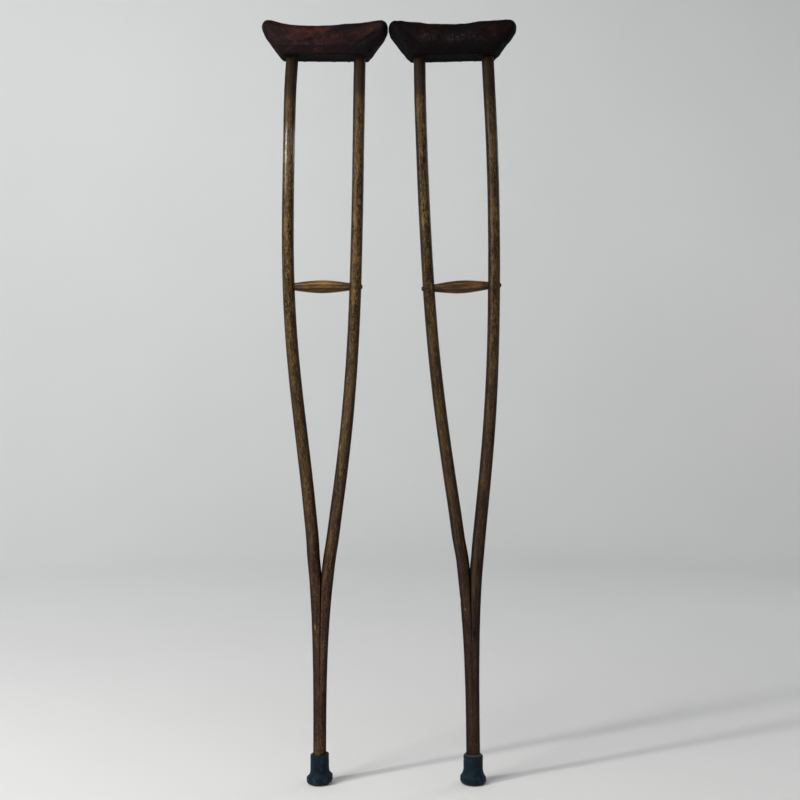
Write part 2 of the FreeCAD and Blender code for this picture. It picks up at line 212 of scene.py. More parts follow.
# ---------------------------------------------------------------------------
# the wooden bows: same centre lines and sections as the construction
# heights, centre x and width of each rod, millimetres
# ---------------------------------------------------------------------------
LEFT = {
    "name": "left_crutch", "shaft_x": -115.15, "end_r": 10.80,
    "mid": [(-5.0, -115.15), (52.0, -115.15), (140.0, -114.80), (220.0, -114.15),
            (300.0, -113.05), (365.0, -111.90)],
    "spread": (12.1, 2.85),
    "rod": [(400.0, -126.60, 21.45, -94.81, 21.10), (440.0, -130.10, 21.40, -89.38, 20.95),
            (490.0, -135.14, 21.30, -82.68, 20.75), (540.0, -140.81, 21.15, -76.45, 20.60),
            (590.0, -146.75, 21.00, -70.95, 20.45), (640.0, -152.55, 20.82, -66.29, 20.33),
            (690.0, -157.77, 20.64, -62.48, 20.22), (740.0, -162.07, 20.45, -59.45, 20.11),
            (790.0, -165.24, 20.27, -57.08, 20.00), (828.0, -166.85, 20.14, -55.66, 19.92),
            (860.0, -167.71, 20.05, -54.65, 19.85), (910.0, -168.24, 19.93, -53.38, 19.75),
            (960.0, -168.04, 19.85, -52.35, 19.67), (1010.0, -167.41, 19.82, -51.49, 19.61),
            (1060.0, -166.56, 19.86, -50.72, 19.60), (1110.0, -165.51, 19.97, -49.97, 19.63),
            (1160.0, -163.83, 20.17, -49.18, 19.74), (1210.8, -160.55, 20.45, -48.25, 19.95)],
    "grip": (-111.20, 827.60, 0.0, 45.60),
    "saddle": (-104.4, 0.465, 1260.4, 1268.4),
    "screws": (169.2, 169.2),
}
RIGHT = {
    "name": "right_crutch", "shaft_x": 140.65, "end_r": 11.55,
    "mid": [(-5.0, 140.65), (52.0, 140.65), (140.0, 139.60), (220.0, 138.15),
            (300.0, 136.40), (365.0, 134.95)],
    "spread": (11.5, 2.80),
    "rod": [(400.0, 117.83, 21.30, 149.64, 21.56), (440.0, 111.99, 21.06, 153.45, 21.37),
            (490.0, 104.51, 20.81, 158.35, 21.17), (540.0, 97.11, 20.60, 162.97, 21.00),
            (590.0, 90.09, 20.42, 166.97, 20.85), (640.0, 83.68, 20.26, 170.18, 20.72),
            (690.0, 78.02, 20.12, 172.55, 20.59), (740.0, 73.17, 19.99, 174.15, 20.47),
            (790.0, 69.09, 19.87, 175.11, 20.35), (828.0, 66.42, 19.79, 175.48, 20.26),
            (860.0, 64.42, 19.72, 175.60, 20.20), (910.0, 61.65, 19.64, 175.45, 20.10),
            (960.0, 59.20, 19.57, 174.88, 20.04), (1010.0, 56.98, 19.53, 173.82, 20.01),
            (1060.0, 54.97, 19.52, 172.19, 20.04), (1110.0, 53.25, 19.55, 169.95, 20.13),
            (1160.0, 51.94, 19.65, 167.30, 20.33), (1210.8, 51.20, 19.80, 164.85, 20.62)],
    "grip": (120.83, 827.40, 2.72, 44.60),
    "saddle": (107.6, -1.35, 1262.8, 1267.8),
    "screws": (169.2, 169.2),
}


def lerp(table, z):
    if z <= table[0][0]:
        return table[0][1]
    for (z0, a), (z1, b) in zip(table, table[1:]):
        if z <= z1:
            return a + (b - a) * (z - z0) / (z1 - z0)
    return table[-1][1]


def stations(c, side):
    k, power = c["spread"]
    sign = -1.0 if side == "left" else 1.0
    z0 = 52.0
    first = c["rod"][0]
    a_top = (first[2] if side == "left" else first[4]) / 2.0
    out = [(16.0, c["shaft_x"], c["end_r"], c["end_r"])]
    for z in (52.0, 80.0, 110.0, 145.0, 180.0, 220.0, 260.0, 295.0, 325.0, 352.0, 376.0):
        s = max(0.0, (z - z0) / (365.0 - z0))
        f = min(1.0, max(0.0, (z - z0) / (352.0 - z0)))
        out.append((z, lerp(c["mid"], z) + sign * k * s ** power,
                    c["end_r"] + (a_top - c["end_r"]) * f, c["end_r"] + (11.0 - c["end_r"]) * f))
    for z, xl, wl, xr, wr in c["rod"]:
        x, w = (xl, wl) if side == "left" else (xr, wr)
        out.append((z, x, w / 2.0, 11.0 - 0.6 * max(0.0, (z - 400.0) / 810.8)))
    return out


def spline(xs, ys):
    """Natural cubic spline through the stations."""
    n = len(xs)
    h = np.diff(xs)
    a = np.zeros((n, n))
    r = np.zeros(n)
    a[0, 0] = a[-1, -1] = 1.0
    for i in range(1, n - 1):
        a[i, i - 1], a[i, i], a[i, i + 1] = h[i - 1], 2 * (h[i - 1] + h[i]), h[i]
        r[i] = 6 * ((ys[i + 1] - ys[i]) / h[i] - (ys[i] - ys[i - 1]) / h[i - 1])
    m = np.linalg.solve(a, r)

    def f(x):
        i = int(np.clip(np.searchsorted(xs, x) - 1, 0, n - 2))
        t0, t1 = xs[i + 1] - x, x - xs[i]
        return (m[i] * t0 ** 3 + m[i + 1] * t1 ** 3) / (6 * h[i]) + \
            (ys[i] / h[i] - m[i] * h[i] / 6) * t0 + (ys[i + 1] / h[i] - m[i + 1] * h[i] / 6) * t1
    return f


def bow_mesh(c, side, seed, marks):
    """One bow as a fine skin round its centre line, flat where it meets its twin, with hand-work in its surface."""
    st = stations(c, side)
    zs = np.array([s[0] for s in st])
    fx = spline(zs, np.array([s[1] for s in st]))
    fa = spline(zs, np.array([s[2] for s in st]))
    fb = spline(zs, np.array([s[3] for s in st]))
    sign = -1.0 if side == "left" else 1.0
    z_list = []
    z = 16.0
    while z < 1209.0:
        z_list.append(z)
        z += 1.5 if (230 < z < 370) else 2.0
    z_list.append(1210.3)
    around, flat = 52, 7
    tone_of = BOW_TONE[(c["name"], side)]
    verts, grain, tone, spot, seam, matte_and_pad_shadow, gloss = [], [], [], [], [], [], []
    s_len, last = 0.0, None
    for z in z_list:
        x0 = float(fx(z)) if z > 52 else c["shaft_x"]
        a = float(fa(z)) if z > 52 else c["end_r"]
        b = float(fb(z)) if z > 52 else c["end_r"]
        if last is not None:
            s_len += math.hypot(z - last[0], x0 - last[1])
        last = (z, x0)
        mid = lerp(c["mid"], z) if z <= 356 else None
        phi0 = 0.20
        gap = 99.0
        if mid is not None:
            gap = abs(mid - x0)
            if gap < a:
                phi0 = max(phi0, math.acos(min(1.0, gap / a)))
        clip = mid is not None and gap < a
        angles = [phi0 + (2 * math.pi - 2 * phi0) * i / (around - 1) for i in range(around)]
        angles += [-phi0 + 2 * phi0 * i / (flat + 1) for i in range(1, flat + 1)]
        gold, purple, dull = (lerp(t, z) for t in tone_of)
        open_seam = smooth01(z, 150.0, 300.0)
        for k, ph in enumerate(angles):
            cx, cy = math.cos(ph), math.sin(ph)
            dx, dy = -sign * cx * a, cy * b * (-sign)
            th = math.atan2(dy, dx)
            ct, sn = math.cos(th), math.sin(th)
            # long shallow facets left by the drawknife, soft dents and ripples
            dd = 0.17 * fnoise(ct * 1.4 + seed, sn * 1.4, z / 95.0)
            dd += 0.07 * fnoise(ct * 3.2 + seed, sn * 3.2 + 7.0, z / 22.0)
            dd += 0.035 * math.cos(6.0 * th + 2.0 * fnoise(seed, 3.0, z / 240.0))
            mark = 0.0
            for mz, mth, mw, ml, depth, paint in marks:
                dz = (z - mz) / ml
                if abs(dz) > 2.6:
                    continue
                dt = (math.atan2(math.sin(th - mth), math.cos(th - mth)) * 10.0) / mw
                q = dz * dz + dt * dt
                if q < 7:
                    e = math.exp(-q)
                    dd -= depth * e
                    mark += paint * e
            fade = smooth01(z, 50.0, 62.0) * (1.0 - smooth01(z, 1200.0, 1209.0))
            near = 0.0
            if clip and k < around:
                # eased arris beside the joint line
                off = abs(x0 + dx - mid)
                near = math.exp(-(off / 0.8) ** 2)
                dd -= (0.18 + 0.35 * open_seam) * near * smooth01(z, 52.0, 90.0)
            r = 1.0 + dd * fade / 10.5
            px, py = x0 + dx * r, dy * r
            if clip and k >= around:
                y_edge = math.sqrt(max(0.0, 1.0 - (gap / a) ** 2)) * b
                py = -sign * y_edge * 0.97 * math.sin(ph) / max(1e-6, math.sin(phi0))
                px = mid + sign * 0.03
                near = 1.0
            elif mid is not None:
                lim = mid + sign * (0.03 + 0.10 * open_seam * near)
                px = min(px, lim) if side == "left" else max(px, lim)
            verts.append((px / 1000.0, py / 1000.0, z / 1000.0))
            grain.append((dx / 1000.0 + seed * 0.37, dy / 1000.0 + seed * 0.11, s_len / 1000.0 + seed))
            tone.append((gold, purple, dull))
            spot.append(mark)
            shine = -0.35 * math.exp(-((z - 1068.0) / 42.0) ** 2) if seed == 1.0 else 0.0
            # roughness by height; the top band near the saddle also carries a painted shadow of the pad
            matte_and_pad_shadow.append(shine + max(smooth01(z, 1085.0, 1165.0), 0.6 * (1.0 - smooth01(z, 560.0, 760.0))))
            gloss.append(math.exp(-((z - 1061.0) / 27.0) ** 4) + 0.35 * math.exp(-((z - 1012.0) / 26.0) ** 2) if seed == 1.0 else 0.0)
            seam.append(near * smooth01(z, 60.0, 130.0) * (0.32 + 0.68 * open_seam))
    n = around + flat
    m = len(z_list)
    faces = []
    for j in range(m - 1):
        for i in range(n):
            i2 = (i + 1) % n
            faces.append((j * n + i, j * n + i2, (j + 1) * n + i2, (j + 1) * n + i))
    faces.append(tuple(range(n))[::-1])
    faces.append(tuple((m - 1) * n + i for i in range(n)))
    o = new_object("%s_%s_bow" % (c["name"], side), verts, faces)
    fix_normals(o)
    me = o.data
    set_attr(me, "grain", grain, "FLOAT_VECTOR")
    set_attr(me, "tone", tone, "FLOAT_VECTOR")
    set_attr(me, "spot", spot)
    set_attr(me, "seam", seam)
    set_attr(me, "matte_and_pad_shadow", matte_and_pad_shadow)
    set_attr(me, "gloss", gloss)
    ny = np.zeros(len(me.vertices) * 3, dtype=np.float32)
    me.vertices.foreach_get("normal", ny)
    set_attr(me, "flank", np.abs(ny.reshape(-1, 3)[:, 0]))
    return o


def fix_normals(o):
    bm = bmesh.new()
    bm.from_mesh(o.data)
    bmesh.ops.recalc_face_normals(bm, faces=bm.faces)
    bm.to_mesh(o.data)
    bm.free()
    o.data.update()


FRONT = -math.pi / 2
# height, angle, width, length, depth, paint (above 0 paler, below 0 darker)
BOW_MARKS = {
    ("left_crutch", "left"): [(262.0, FRONT - 0.45, 1.3, 6.0, 0.35, 0.8), (240.0, FRONT + 0.0, 1.2, 2.5, 0.3, 0.45),
                              (405.0, FRONT + 0.4, 1.6, 2.0, 0.5, -0.6), (884.0, FRONT - 0.3, 2.0, 5.0, 0.3, 0.5),
                              (1012.0, FRONT - 0.1, 1.8, 2.0, 0.4, -0.7), (640.0, FRONT + 0.2, 1.6, 3.0, 0.35, 0.6)],
    ("left_crutch", "right"): [(252.0, FRONT + 0.3, 1.1, 2.5, 0.4, 0.45), (1187.0, FRONT - 0.25, 1.3, 1.6, 0.7, -1.0),
                               (1157.0, FRONT - 0.25, 1.3, 1.6, 0.7, -1.0), (560.0, FRONT - 0.7, 1.8, 9.0, 0.3, 0.7),
                               (596.0, FRONT - 0.6, 1.5, 4.0, 0.25, 0.6)],
    ("right_crutch", "left"): [(292.0, FRONT - 0.45, 1.6, 4.5, 0.8, 0.62), (305.0, math.pi, 2.4, 3.5, 0.9, 0.5),
                               (935.0, FRONT - 0.35, 0.9, 14.0, 0.1, 0.8), (700.0, FRONT + 0.3, 1.6, 3.0, 0.3, -0.6)],
    ("right_crutch", "right"): [(252.0, FRONT + 0.1, 2.6, 9.0, -0.30, -0.8), (337.0, FRONT + 0.1, 2.8, 5.5, 0.3, 0.34),
                                (515.0, FRONT - 0.1, 3.2, 1.6, 0.3, 0.6), (1048.0, FRONT + 0.1, 1.8, 2.5, 0.3, 0.4)],
}
PURPLE = [(0.0, 1.0), (300.0, 1.0), (400.0, 0.75), (500.0, 0.35), (640.0, 0.0)]
# how golden, how purple and how grey the varnish has gone, by height
BOW_TONE = {
    ("left_crutch", "left"): ([(0.0, 0.30), (60.0, 0.45), (120.0, 0.15), (420.0, 0.30), (620.0, 0.45), (740.0, 0.55),
                               (800.0, 0.90), (940.0, 1.0), (1060.0, 0.75), (1130.0, 0.30), (1210.0, 0.10)],
                              PURPLE, [(0.0, 0.0), (430.0, 0.1), (640.0, 0.25), (760.0, 0.0)]),
    ("left_crutch", "right"): ([(0.0, 0.30), (60.0, 0.45), (120.0, 0.15), (420.0, 0.35), (620.0, 0.45), (740.0, 0.55),
                                (800.0, 0.90), (920.0, 0.75), (1060.0, 0.65), (1150.0, 0.45), (1210.0, 0.2)],
                               PURPLE, [(0.0, 0.0), (400.0, 0.2), (500.0, 0.85), (690.0, 0.85), (780.0, 0.1), (860.0, 0.0)]),
    ("right_crutch", "left"): ([(0.0, 0.10), (400.0, 0.20), (600.0, 0.40), (760.0, 0.60), (860.0, 0.85), (1050.0, 0.95),
                                (1130.0, 0.7), (1210.0, 0.5)],
                               PURPLE, [(0.0, 0.0), (420.0, 0.2), (640.0, 0.2), (760.0, 0.0)]),
    ("right_crutch", "right"): ([(0.0, 0.10), (400.0, 0.20), (600.0, 0.35), (760.0, 0.70), (900.0, 0.75), (1050.0, 0.55),
                                 (1210.0, 0.15)],
                                PURPLE, [(0.0, 0.0), (420.0, 0.3), (600.0, 0.4), (760.0, 0.1), (800.0, 0.0)]),
}


def wood_material(name, seed, dim):
    t = Tree(name)
    g = t.attr("grain").outputs["Vector"]
    tone = t.add("ShaderNodeSeparateXYZ", {"Vector": t.attr("tone").outputs["Vector"]})
    gold, purple, dull = tone.outputs["X"], tone.outputs["Y"], tone.outputs["Z"]
    spot = t.attr("spot").outputs["Fac"]
    seam = t.attr("seam").outputs["Fac"]
    flank = t.attr("flank").outputs["Fac"]
    streak = t.noise(t.scale(g, (430, 430, 10)), 5.0, 0.6, 0.4)
    fibre = t.noise(t.scale(g, (1900, 1900, 30)), 4.0, 0.65)
    pores = t.noise(t.scale(g, (2900, 2900, 170)), 2.0, 0.5)
    patch = t.noise(t.scale(g, (95, 95, 17)), 5.0, 0.62, 0.7)
    blot = t.noise(t.scale(g, (230, 230, 60), (3.0, 1.0, 7.0)), 4.0, 0.65, 0.4)
    speck = t.noise(t.scale(g, (560, 560, 200)), 3.0, 0.7)
    matte_and_pad_shadow = t.attr("matte_and_pad_shadow").outputs["Fac"]
    # varnish over the grain
    base = t.ramp(streak, [(0.30, srgb(40, 27, 16)), (0.45, srgb(66, 47, 26)), (0.56, srgb(86, 63, 34)),
                           (0.72, srgb(108, 82, 46))])
    base = t.mix(t.step(fibre, 0.50, 0.70, 0.0, 0.55), base, srgb(38, 25, 15))
    grey = t.ramp(streak, [(0.30, srgb(66, 54, 42)), (0.50, srgb(94, 78, 60)), (0.70, srgb(122, 104, 84))])
    grey = t.mix(t.step(fibre, 0.52, 0.66, 0.0, 0.6), grey, srgb(48, 37, 28))
    base = t.mix(dull, base, grey)
    dark = t.ramp(streak, [(0.30, srgb(37, 24, 22)), (0.50, srgb(65, 45, 40)), (0.68, srgb(92, 66, 59))])
    dark = t.mix(t.step(fibre, 0.50, 0.68, 0.0, 0.55), dark, srgb(30, 21, 19))
    dark = t.mix(t.step(blot, 0.55, 0.68, 0.0, 0.35), dark, srgb(88, 52, 40))
    base = t.mix(purple, base, dark)
    # mottled wear: golden where the varnish is thin, maroon and black where it has built up
    worn = t.math("MULTIPLY", t.step(patch, 0.44, 0.62), gold)
    base = t.mix(t.math("MULTIPLY", worn, 0.85), base, srgb(134, 104, 58))
    bright = t.math("MULTIPLY", t.step(blot, 0.54, 0.64), gold)
    base = t.mix(t.math("MULTIPLY", bright, 0.75), base, srgb(158, 128, 78))
    red = t.math("MULTIPLY", t.step(blot, 0.46, 0.36), 0.55)
    base = t.mix(red, base, srgb(58, 30, 20))
    base = t.mix(t.step(patch, 0.34, 0.46, 0.55, 0.0), base, srgb(30, 20, 13))
    flecks = t.math("MULTIPLY", t.step(speck, 0.57, 0.64), t.math("ADD", t.math("MULTIPLY", gold, 0.75), 0.08))
    base = t.mix(flecks, base, srgb(176, 146, 94))
    base = t.mix(t.math("MULTIPLY", t.step(speck, 0.34, 0.43, 1.0, 0.0), 0.85), base, srgb(26, 15, 9))
    base = t.mix(t.step(pores, 0.60, 0.68, 0.0, 0.75), base, srgb(20, 13, 10))
    # painted shade: the flanks darkened where the surface turns sideways; grime in the joint line and in dents
    side = t.math("MULTIPLY", t.step(flank, 0.44, 0.92), t.step(patch, 0.25, 0.75, 0.97, 0.78))
    base = t.mix(side, base, srgb(32, 17, 11))
    base = t.mix(t.step(seam, 0.15, 0.8, 0.0, 0.94), base, srgb(10, 7, 6))
    base = t.mix(t.step(spot, 0.25, 0.75), base, srgb(172, 140, 92))
    base = t.mix(t.step(spot, -0.75, -0.25, 0.95, 0.0), base, srgb(12, 9, 8))
    # painted shadow of the saddle: the tops of the bows darkened below the pad
    base = t.mix(t.step(matte_and_pad_shadow, 0.62, 1.0, 0.0, 0.75), base, srgb(38, 27, 15))
    base = t.mix(1.0, base, (dim, dim * 0.96, dim * 0.86), "MULTIPLY")
    rough = t.math("ADD", t.step(blot, 0.38, 0.62, 0.24, 0.44), t.step(speck, 0.5, 0.70, 0.0, 0.16))
    rough = t.math("ADD", rough, t.math("MULTIPLY", matte_and_pad_shadow, 0.30))
    rough = t.math("ADD", rough, t.math("MULTIPLY", t.math("ADD", dull, purple), 0.14))
    gloss = t.math("MULTIPLY", t.attr("gloss").outputs["Fac"], t.step(blot, 0.38, 0.52, 0.25, 1.0))
    rough = t.math("MULTIPLY", rough, t.math("SUBTRACT", 1.0, t.math("MULTIPLY", gloss, 0.42)))
    level = t.math("ADD", 0.13, t.math("MULTIPLY", gloss, 0.62))
    height = t.math("ADD", t.math("MULTIPLY", streak, 0.6), t.step(pores, 0.58, 0.70, 0.5, 0.0))
    nor = t.bump(height, 0.30, 0.0005)
    nor = t.bump(t.math("ADD", t.math("MULTIPLY", speck, 0.7), blot), 0.30, 0.0008, nor)
    return t.surface(base, rough, nor, Specular_IOR_Level=level)


def make_bows():
    for c, dim in ((LEFT, 0.61), (RIGHT, 0.47)):
        for i, side in enumerate(("left", "right")):
            seed = (1.0 if c is LEFT else 5.0) + i * 2.0
            o = bow_mesh(c, side, seed, BOW_MARKS[(c["name"], side)])
            o.data.materials.append(wood_material("varnished_wood_%s_%s" % (c["name"], side), seed, dim))
            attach(o, c["name"])
            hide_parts("%s_bow_%s" % (c["name"], side))


# ---------------------------------------------------------------------------
# hand grips: eight shaved facets with softened arrises
# ---------------------------------------------------------------------------
GRIP_PROFILE = [(0.0, 11.1), (5.0, 11.05), (10.0, 10.8), (15.0, 10.4), (20.0, 9.95), (25.0, 9.4),
                (30.0, 8.8), (35.0, 8.1), (40.0, 7.35), (44.7, 6.75)]


def make_grip(c, seed):
    tint = (0.98, 0.93, 0.80) if c is LEFT else (0.64, 0.61, 0.52)
    gx, gz, tilt, half = c["grip"]
    k = (half - 0.9) / 44.7
    f = spline(np.array([-p[0] * k for p in reversed(GRIP_PROFILE[1:])] + [p[0] * k for p in GRIP_PROFILE]),
               np.array([p[1] for p in reversed(GRIP_PROFILE[1:])] + [p[1] for p in GRIP_PROFILE]))
    end = 44.7 * k
    rows = [(-half - 2.0, 6.4, 0.0), (-half - 0.2, 6.4, 0.0), (-end - 0.3, 6.42, 0.0)]
    n_t = 120
    for i in range(n_t + 1):
        t = -end + 2 * end * i / n_t
        r = float(f(t))
        edge = min(1.0, (end - abs(t)) / 1.2)
        rows.append((t, r - 0.35 * (1 - edge) ** 2, 1.0))
    rows += [(end + 0.3, 6.42, 0.0), (half + 0.2, 6.4, 0.0), (half + 2.0, 6.4, 0.0)]
    n = 96
    verts, grain, facet_shade_and_grime, arris = [], [], [], []
    for t, r, w in rows:
        for i in range(n):
            a = 2 * math.pi * i / n
            # octagon with one arris forward and a little down, its corners slightly eased
            q = ((a - math.radians(18.5)) % (math.pi / 4)) - math.pi / 8
            octo = math.cos(math.pi / 8) / math.cos(q)
            soft = min(octo, 0.985 + 0.3 * (octo - 0.985))
            rr = (r + 0.12) * (1 - w + w * soft)
            rr *= 1 + w * 0.010 * fnoise(math.cos(a) * 1.3 + seed, math.sin(a) * 1.3, t / 14.0)
            rr *= 1 + w * 0.006 * fnoise(math.cos(a) * 4 + seed, math.sin(a) * 4, t / 4.0)
            verts.append((t / 1000, rr * math.cos(a) / 1000, rr * math.sin(a) / 1000))
            grain.append((rr * math.cos(a) / 1000 + seed, rr * math.sin(a) / 1000, t / 1000 + seed))
            arris.append(w * smooth01(abs(q), 0.31, 0.388))
            # painted shade on the two facets below the front arris, and grime on their opposites
            f = ((a - math.radians(18.5)) / (math.pi / 4)) % 8
            facet_shade_and_grime.append({3: 0.15, 4: 0.85, 5: 0.75, 0: 0.6, 1: 0.3, 6: 0.4}.get(int(f) % 8, 0.1) * w + (1 - w))
    faces = []
    for j in range(len(rows) - 1):
        for i in range(n):
            i2 = (i + 1) % n
            faces.append((j * n + i, (j + 1) * n + i, (j + 1) * n + i2, j * n + i2))
    faces.append(tuple(range(n)))
    faces.append(tuple((len(rows) - 1) * n + i for i in reversed(range(n))))
    o = new_object(c["name"] + "_spindle_grip", verts, faces)
    m = Matrix.Translation((gx / 1000, 0, gz / 1000)) @ Matrix.Rotation(-math.radians(tilt), 4, "Y")
    o.data.transform(m)
    fix_normals(o)
    set_attr(o.data, "grain", grain, "FLOAT_VECTOR")
    set_attr(o.data, "facet_shade_and_grime", facet_shade_and_grime)
    set_attr(o.data, "arris", arris)
    t = Tree("grip_wood_" + c["name"])
    g = t.attr("grain").outputs["Vector"]
    streak = t.noise(t.scale(g, (380, 380, 16)), 5.0, 0.6, 0.5)
    fibre = t.noise(t.scale(g, (1700, 1700, 60)), 4.0, 0.6)
    patch = t.noise(t.scale(g, (90, 90, 34)), 4.0, 0.6, 0.5)
    speck = t.noise(t.scale(g, (1000, 1000, 420)), 3.0, 0.7)
    col = t.ramp(streak, [(0.28, srgb(58, 41, 24)), (0.46, srgb(96, 73, 42)), (0.60, srgb(118, 92, 54)),
                          (0.75, srgb(138, 110, 68))])
    col = t.mix(t.step(fibre, 0.5, 0.72, 0.0, 0.5), col, srgb(52, 35, 23))
    col = t.mix(t.step(patch, 0.38, 0.50, 0.60, 0.0), col, srgb(50, 33, 22))
    col = t.mix(t.step(patch, 0.54, 0.64, 0.0, 0.45), col, srgb(150, 116, 62))
    col = t.mix(t.step(speck, 0.64, 0.74, 0.0, 0.5), col, srgb(160, 132, 86))
    col = t.mix(t.step(speck, 0.30, 0.42, 0.6, 0.0), col, srgb(40, 25, 17))
    # painted shade on the lower facets, with grime on the facets opposite, mixed toward dark brown
    low = t.math("MULTIPLY", t.attr("facet_shade_and_grime").outputs["Fac"], t.step(patch, 0.3, 0.7, 0.85, 0.6))
    col = t.mix(low, col, srgb(44, 30, 24))
    end_dark = t.step(t.math("ABSOLUTE", t.math("SUBTRACT", t.add("ShaderNodeSeparateXYZ", {"Vector": g}).outputs["Z"], seed)),
                      0.030, 0.046, 0.0, 0.7)
    col = t.mix(end_dark, col, srgb(44, 30, 22))
    # rubbed arrises painted pale, doubling as a painted highlight along the edges, kept off the shaded facets
    arris_rub_and_highlight = t.math("MULTIPLY", t.attr("arris").outputs["Fac"], t.step(streak, 0.42, 0.58, 0.0, 0.75))
    col = t.mix(t.math("MULTIPLY", arris_rub_and_highlight, t.step(low, 0.0, 0.6, 0.85, 0.2)), col, srgb(196, 168, 122))
    nor = t.bump(t.math("ADD", streak, fibre), 0.3, 0.0006)
    col = t.mix(1.0, col, tint, "MULTIPLY")
    mat = t.surface(col, t.step(patch, 0.35, 0.65, 0.30, 0.48), nor, Specular_IOR_Level=0.15)
    o.data.materials.append(mat)
    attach(o, "left_grip" if c is LEFT else "right_grip")
    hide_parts(c["name"] + "_hand_grip")
    return o


# ---------------------------------------------------------------------------
# materials of the carried-over pieces
# ---------------------------------------------------------------------------
def steel_black():
    t = Tree("blackened_steel")
    p = t.add("ShaderNodeTexCoord").outputs["Object"]
    n1 = t.noise(t.scale(p, (900, 900, 900)), 4.0, 0.65)
    n2 = t.noise(t.scale(p, (260, 260, 260)), 3.0, 0.6)
    col = t.ramp(n1, [(0.30, srgb(16, 16, 18)), (0.55, srgb(34, 33, 35)), (0.75, srgb(62, 48, 40))])
    return t.surface(col, t.step(n2, 0.3, 0.7, 0.34, 0.62), t.bump(n1, 0.35, 0.0003), Metallic=0.75)


def japanned():
    t = Tree("japanned_tacks")
    p = t.add("ShaderNodeTexCoord").outputs["Object"]
    n1 = t.noise(t.scale(p, (1200, 1200, 1200)), 4.0, 0.65)
    col = t.ramp(n1, [(0.35, srgb(8, 7, 8)), (0.60, srgb(14, 12, 12)), (0.75, srgb(28, 20, 16))])
    return t.surface(col, t.step(n1, 0.3, 0.7, 0.5, 0.75), t.bump(n1, 0.3, 0.0002), Specular_IOR_Level=0.05)


def steel_plain():
    t = Tree("plain_steel")
    p = t.add("ShaderNodeTexCoord").outputs["Object"]
    n1 = t.noise(t.scale(p, (700, 700, 700)), 4.0, 0.65)
    col = t.ramp(n1, [(0.3, srgb(96, 94, 92)), (0.6, srgb(140, 138, 134)), (0.8, srgb(110, 86, 66))])
    return t.surface(col, t.step(n1, 0.3, 0.7, 0.3, 0.5), t.bump(n1, 0.2, 0.0002), Metallic=0.9)


def plain_wood():
    t = Tree("core_wood")
    p = t.add("ShaderNodeTexCoord").outputs["Object"]
    n1 = t.noise(t.scale(p, (20, 420, 420)), 5.0, 0.6, 0.4)
    n2 = t.noise(t.scale(p, (60, 1800, 1800)), 4.0, 0.6)
    col = t.ramp(n1, [(0.3, srgb(84, 60, 38)), (0.6, srgb(112, 84, 56)), (0.8, srgb(130, 102, 70))])
    col = t.mix(t.step(n2, 0.55, 0.75, 0.0, 0.5), col, srgb(60, 42, 27))
    return t.surface(col, t.step(n1, 0.3, 0.7, 0.6, 0.75), t.bump(n2, 0.3, 0.0004))


def rubber(name="black_rubber", worn=False):
    t = Tree(name)
    p = t.add("ShaderNodeTexCoord").outputs["Object"]
    sep = t.add("ShaderNodeSeparateXYZ", {"Vector": p})
    fine = t.noise(t.scale(p, (1500, 1500, 1500)), 3.0, 0.6)
    blot = t.noise(t.scale(p, (110, 110, 130)), 4.0, 0.62, 0.5)
    scuff = t.noise(t.scale(p, (380, 380, 1500)), 4.0, 0.7, 0.3)
    col = t.ramp(blot, [(0.30, srgb(9, 20, 28)), (0.52, srgb(13, 29, 39)), (0.72, srgb(22, 41, 53))])
    dust = t.math("MULTIPLY", t.step(blot, 0.50, 0.66), t.step(sep.outputs["Z"], 0.006, 0.020, 1.0, 0.12))
    col = t.mix(t.math("MULTIPLY", dust, 0.22), col, srgb(70, 84, 92))
    col = t.mix(t.step(scuff, 0.60, 0.72, 0.0, 0.22), col, srgb(50, 62, 70))
    col = t.mix(t.step(fine, 0.66, 0.78, 0.0, 0.25), col, srgb(44, 58, 66))
    col = t.mix(t.step(sep.outputs["Z"], 0.0010, 0.005, 0.5, 0.0), col, srgb(58, 60, 58))
    if worn:
        col = t.mix(t.math("MULTIPLY", t.attr("ring").outputs["Fac"], t.step(blot, 0.35, 0.6, 0.5, 0.95)), col, srgb(72, 62, 52))
    nor = t.bump(fine, 0.25, 0.0003)
    nor = t.bump(t.math("ADD", blot, scuff), 0.30, 0.0008, nor)
    return t.surface(col, t.step(blot, 0.3, 0.7, 0.48, 0.68), nor, Specular_IOR_Level=0.10)


def stuffing():
    t = Tree("stuffing")
    p = t.add("ShaderNodeTexCoord").outputs["Object"]
    n1 = t.noise(t.scale(p, (800, 800, 800)), 6.0, 0.7, 1.2)
    n2 = t.noise(t.scale(p, (160, 160, 160)), 4.0, 0.6)
    col = t.ramp(n1, [(0.3, srgb(120, 108, 88)), (0.6, srgb(170, 158, 132)), (0.8, srgb(196, 184, 158))])
    col = t.mix(t.step(n2, 0.5, 0.7, 0.0, 0.4), col, srgb(96, 84, 68))
    return t.surface(col, t.step(n1, 0.3, 0.7, 0.8, 0.95), t.bump(n1, 0.6, 0.0015), Sheen_Weight=0.3)


def paint_cad():
    mats = {"tack": japanned(), "black": steel_black(), "steel": steel_plain(), "core": plain_wood(), "rubber": rubber(),
            "stuff": stuffing()}
    pick = [("rubber_tip", "rubber"), ("washer", "steel"), ("saddle_screws", "steel"), ("saddle_core", "core"),
            ("saddle_padding", "stuff"), ("grip_screw", "black"), ("rivet", "black"), ("tacks", "tack")]
    for n, o in NODES.items():
        for key, m in pick:
            if key in n:
                o.data.materials.clear()
                o.data.materials.append(mats[m])
                break


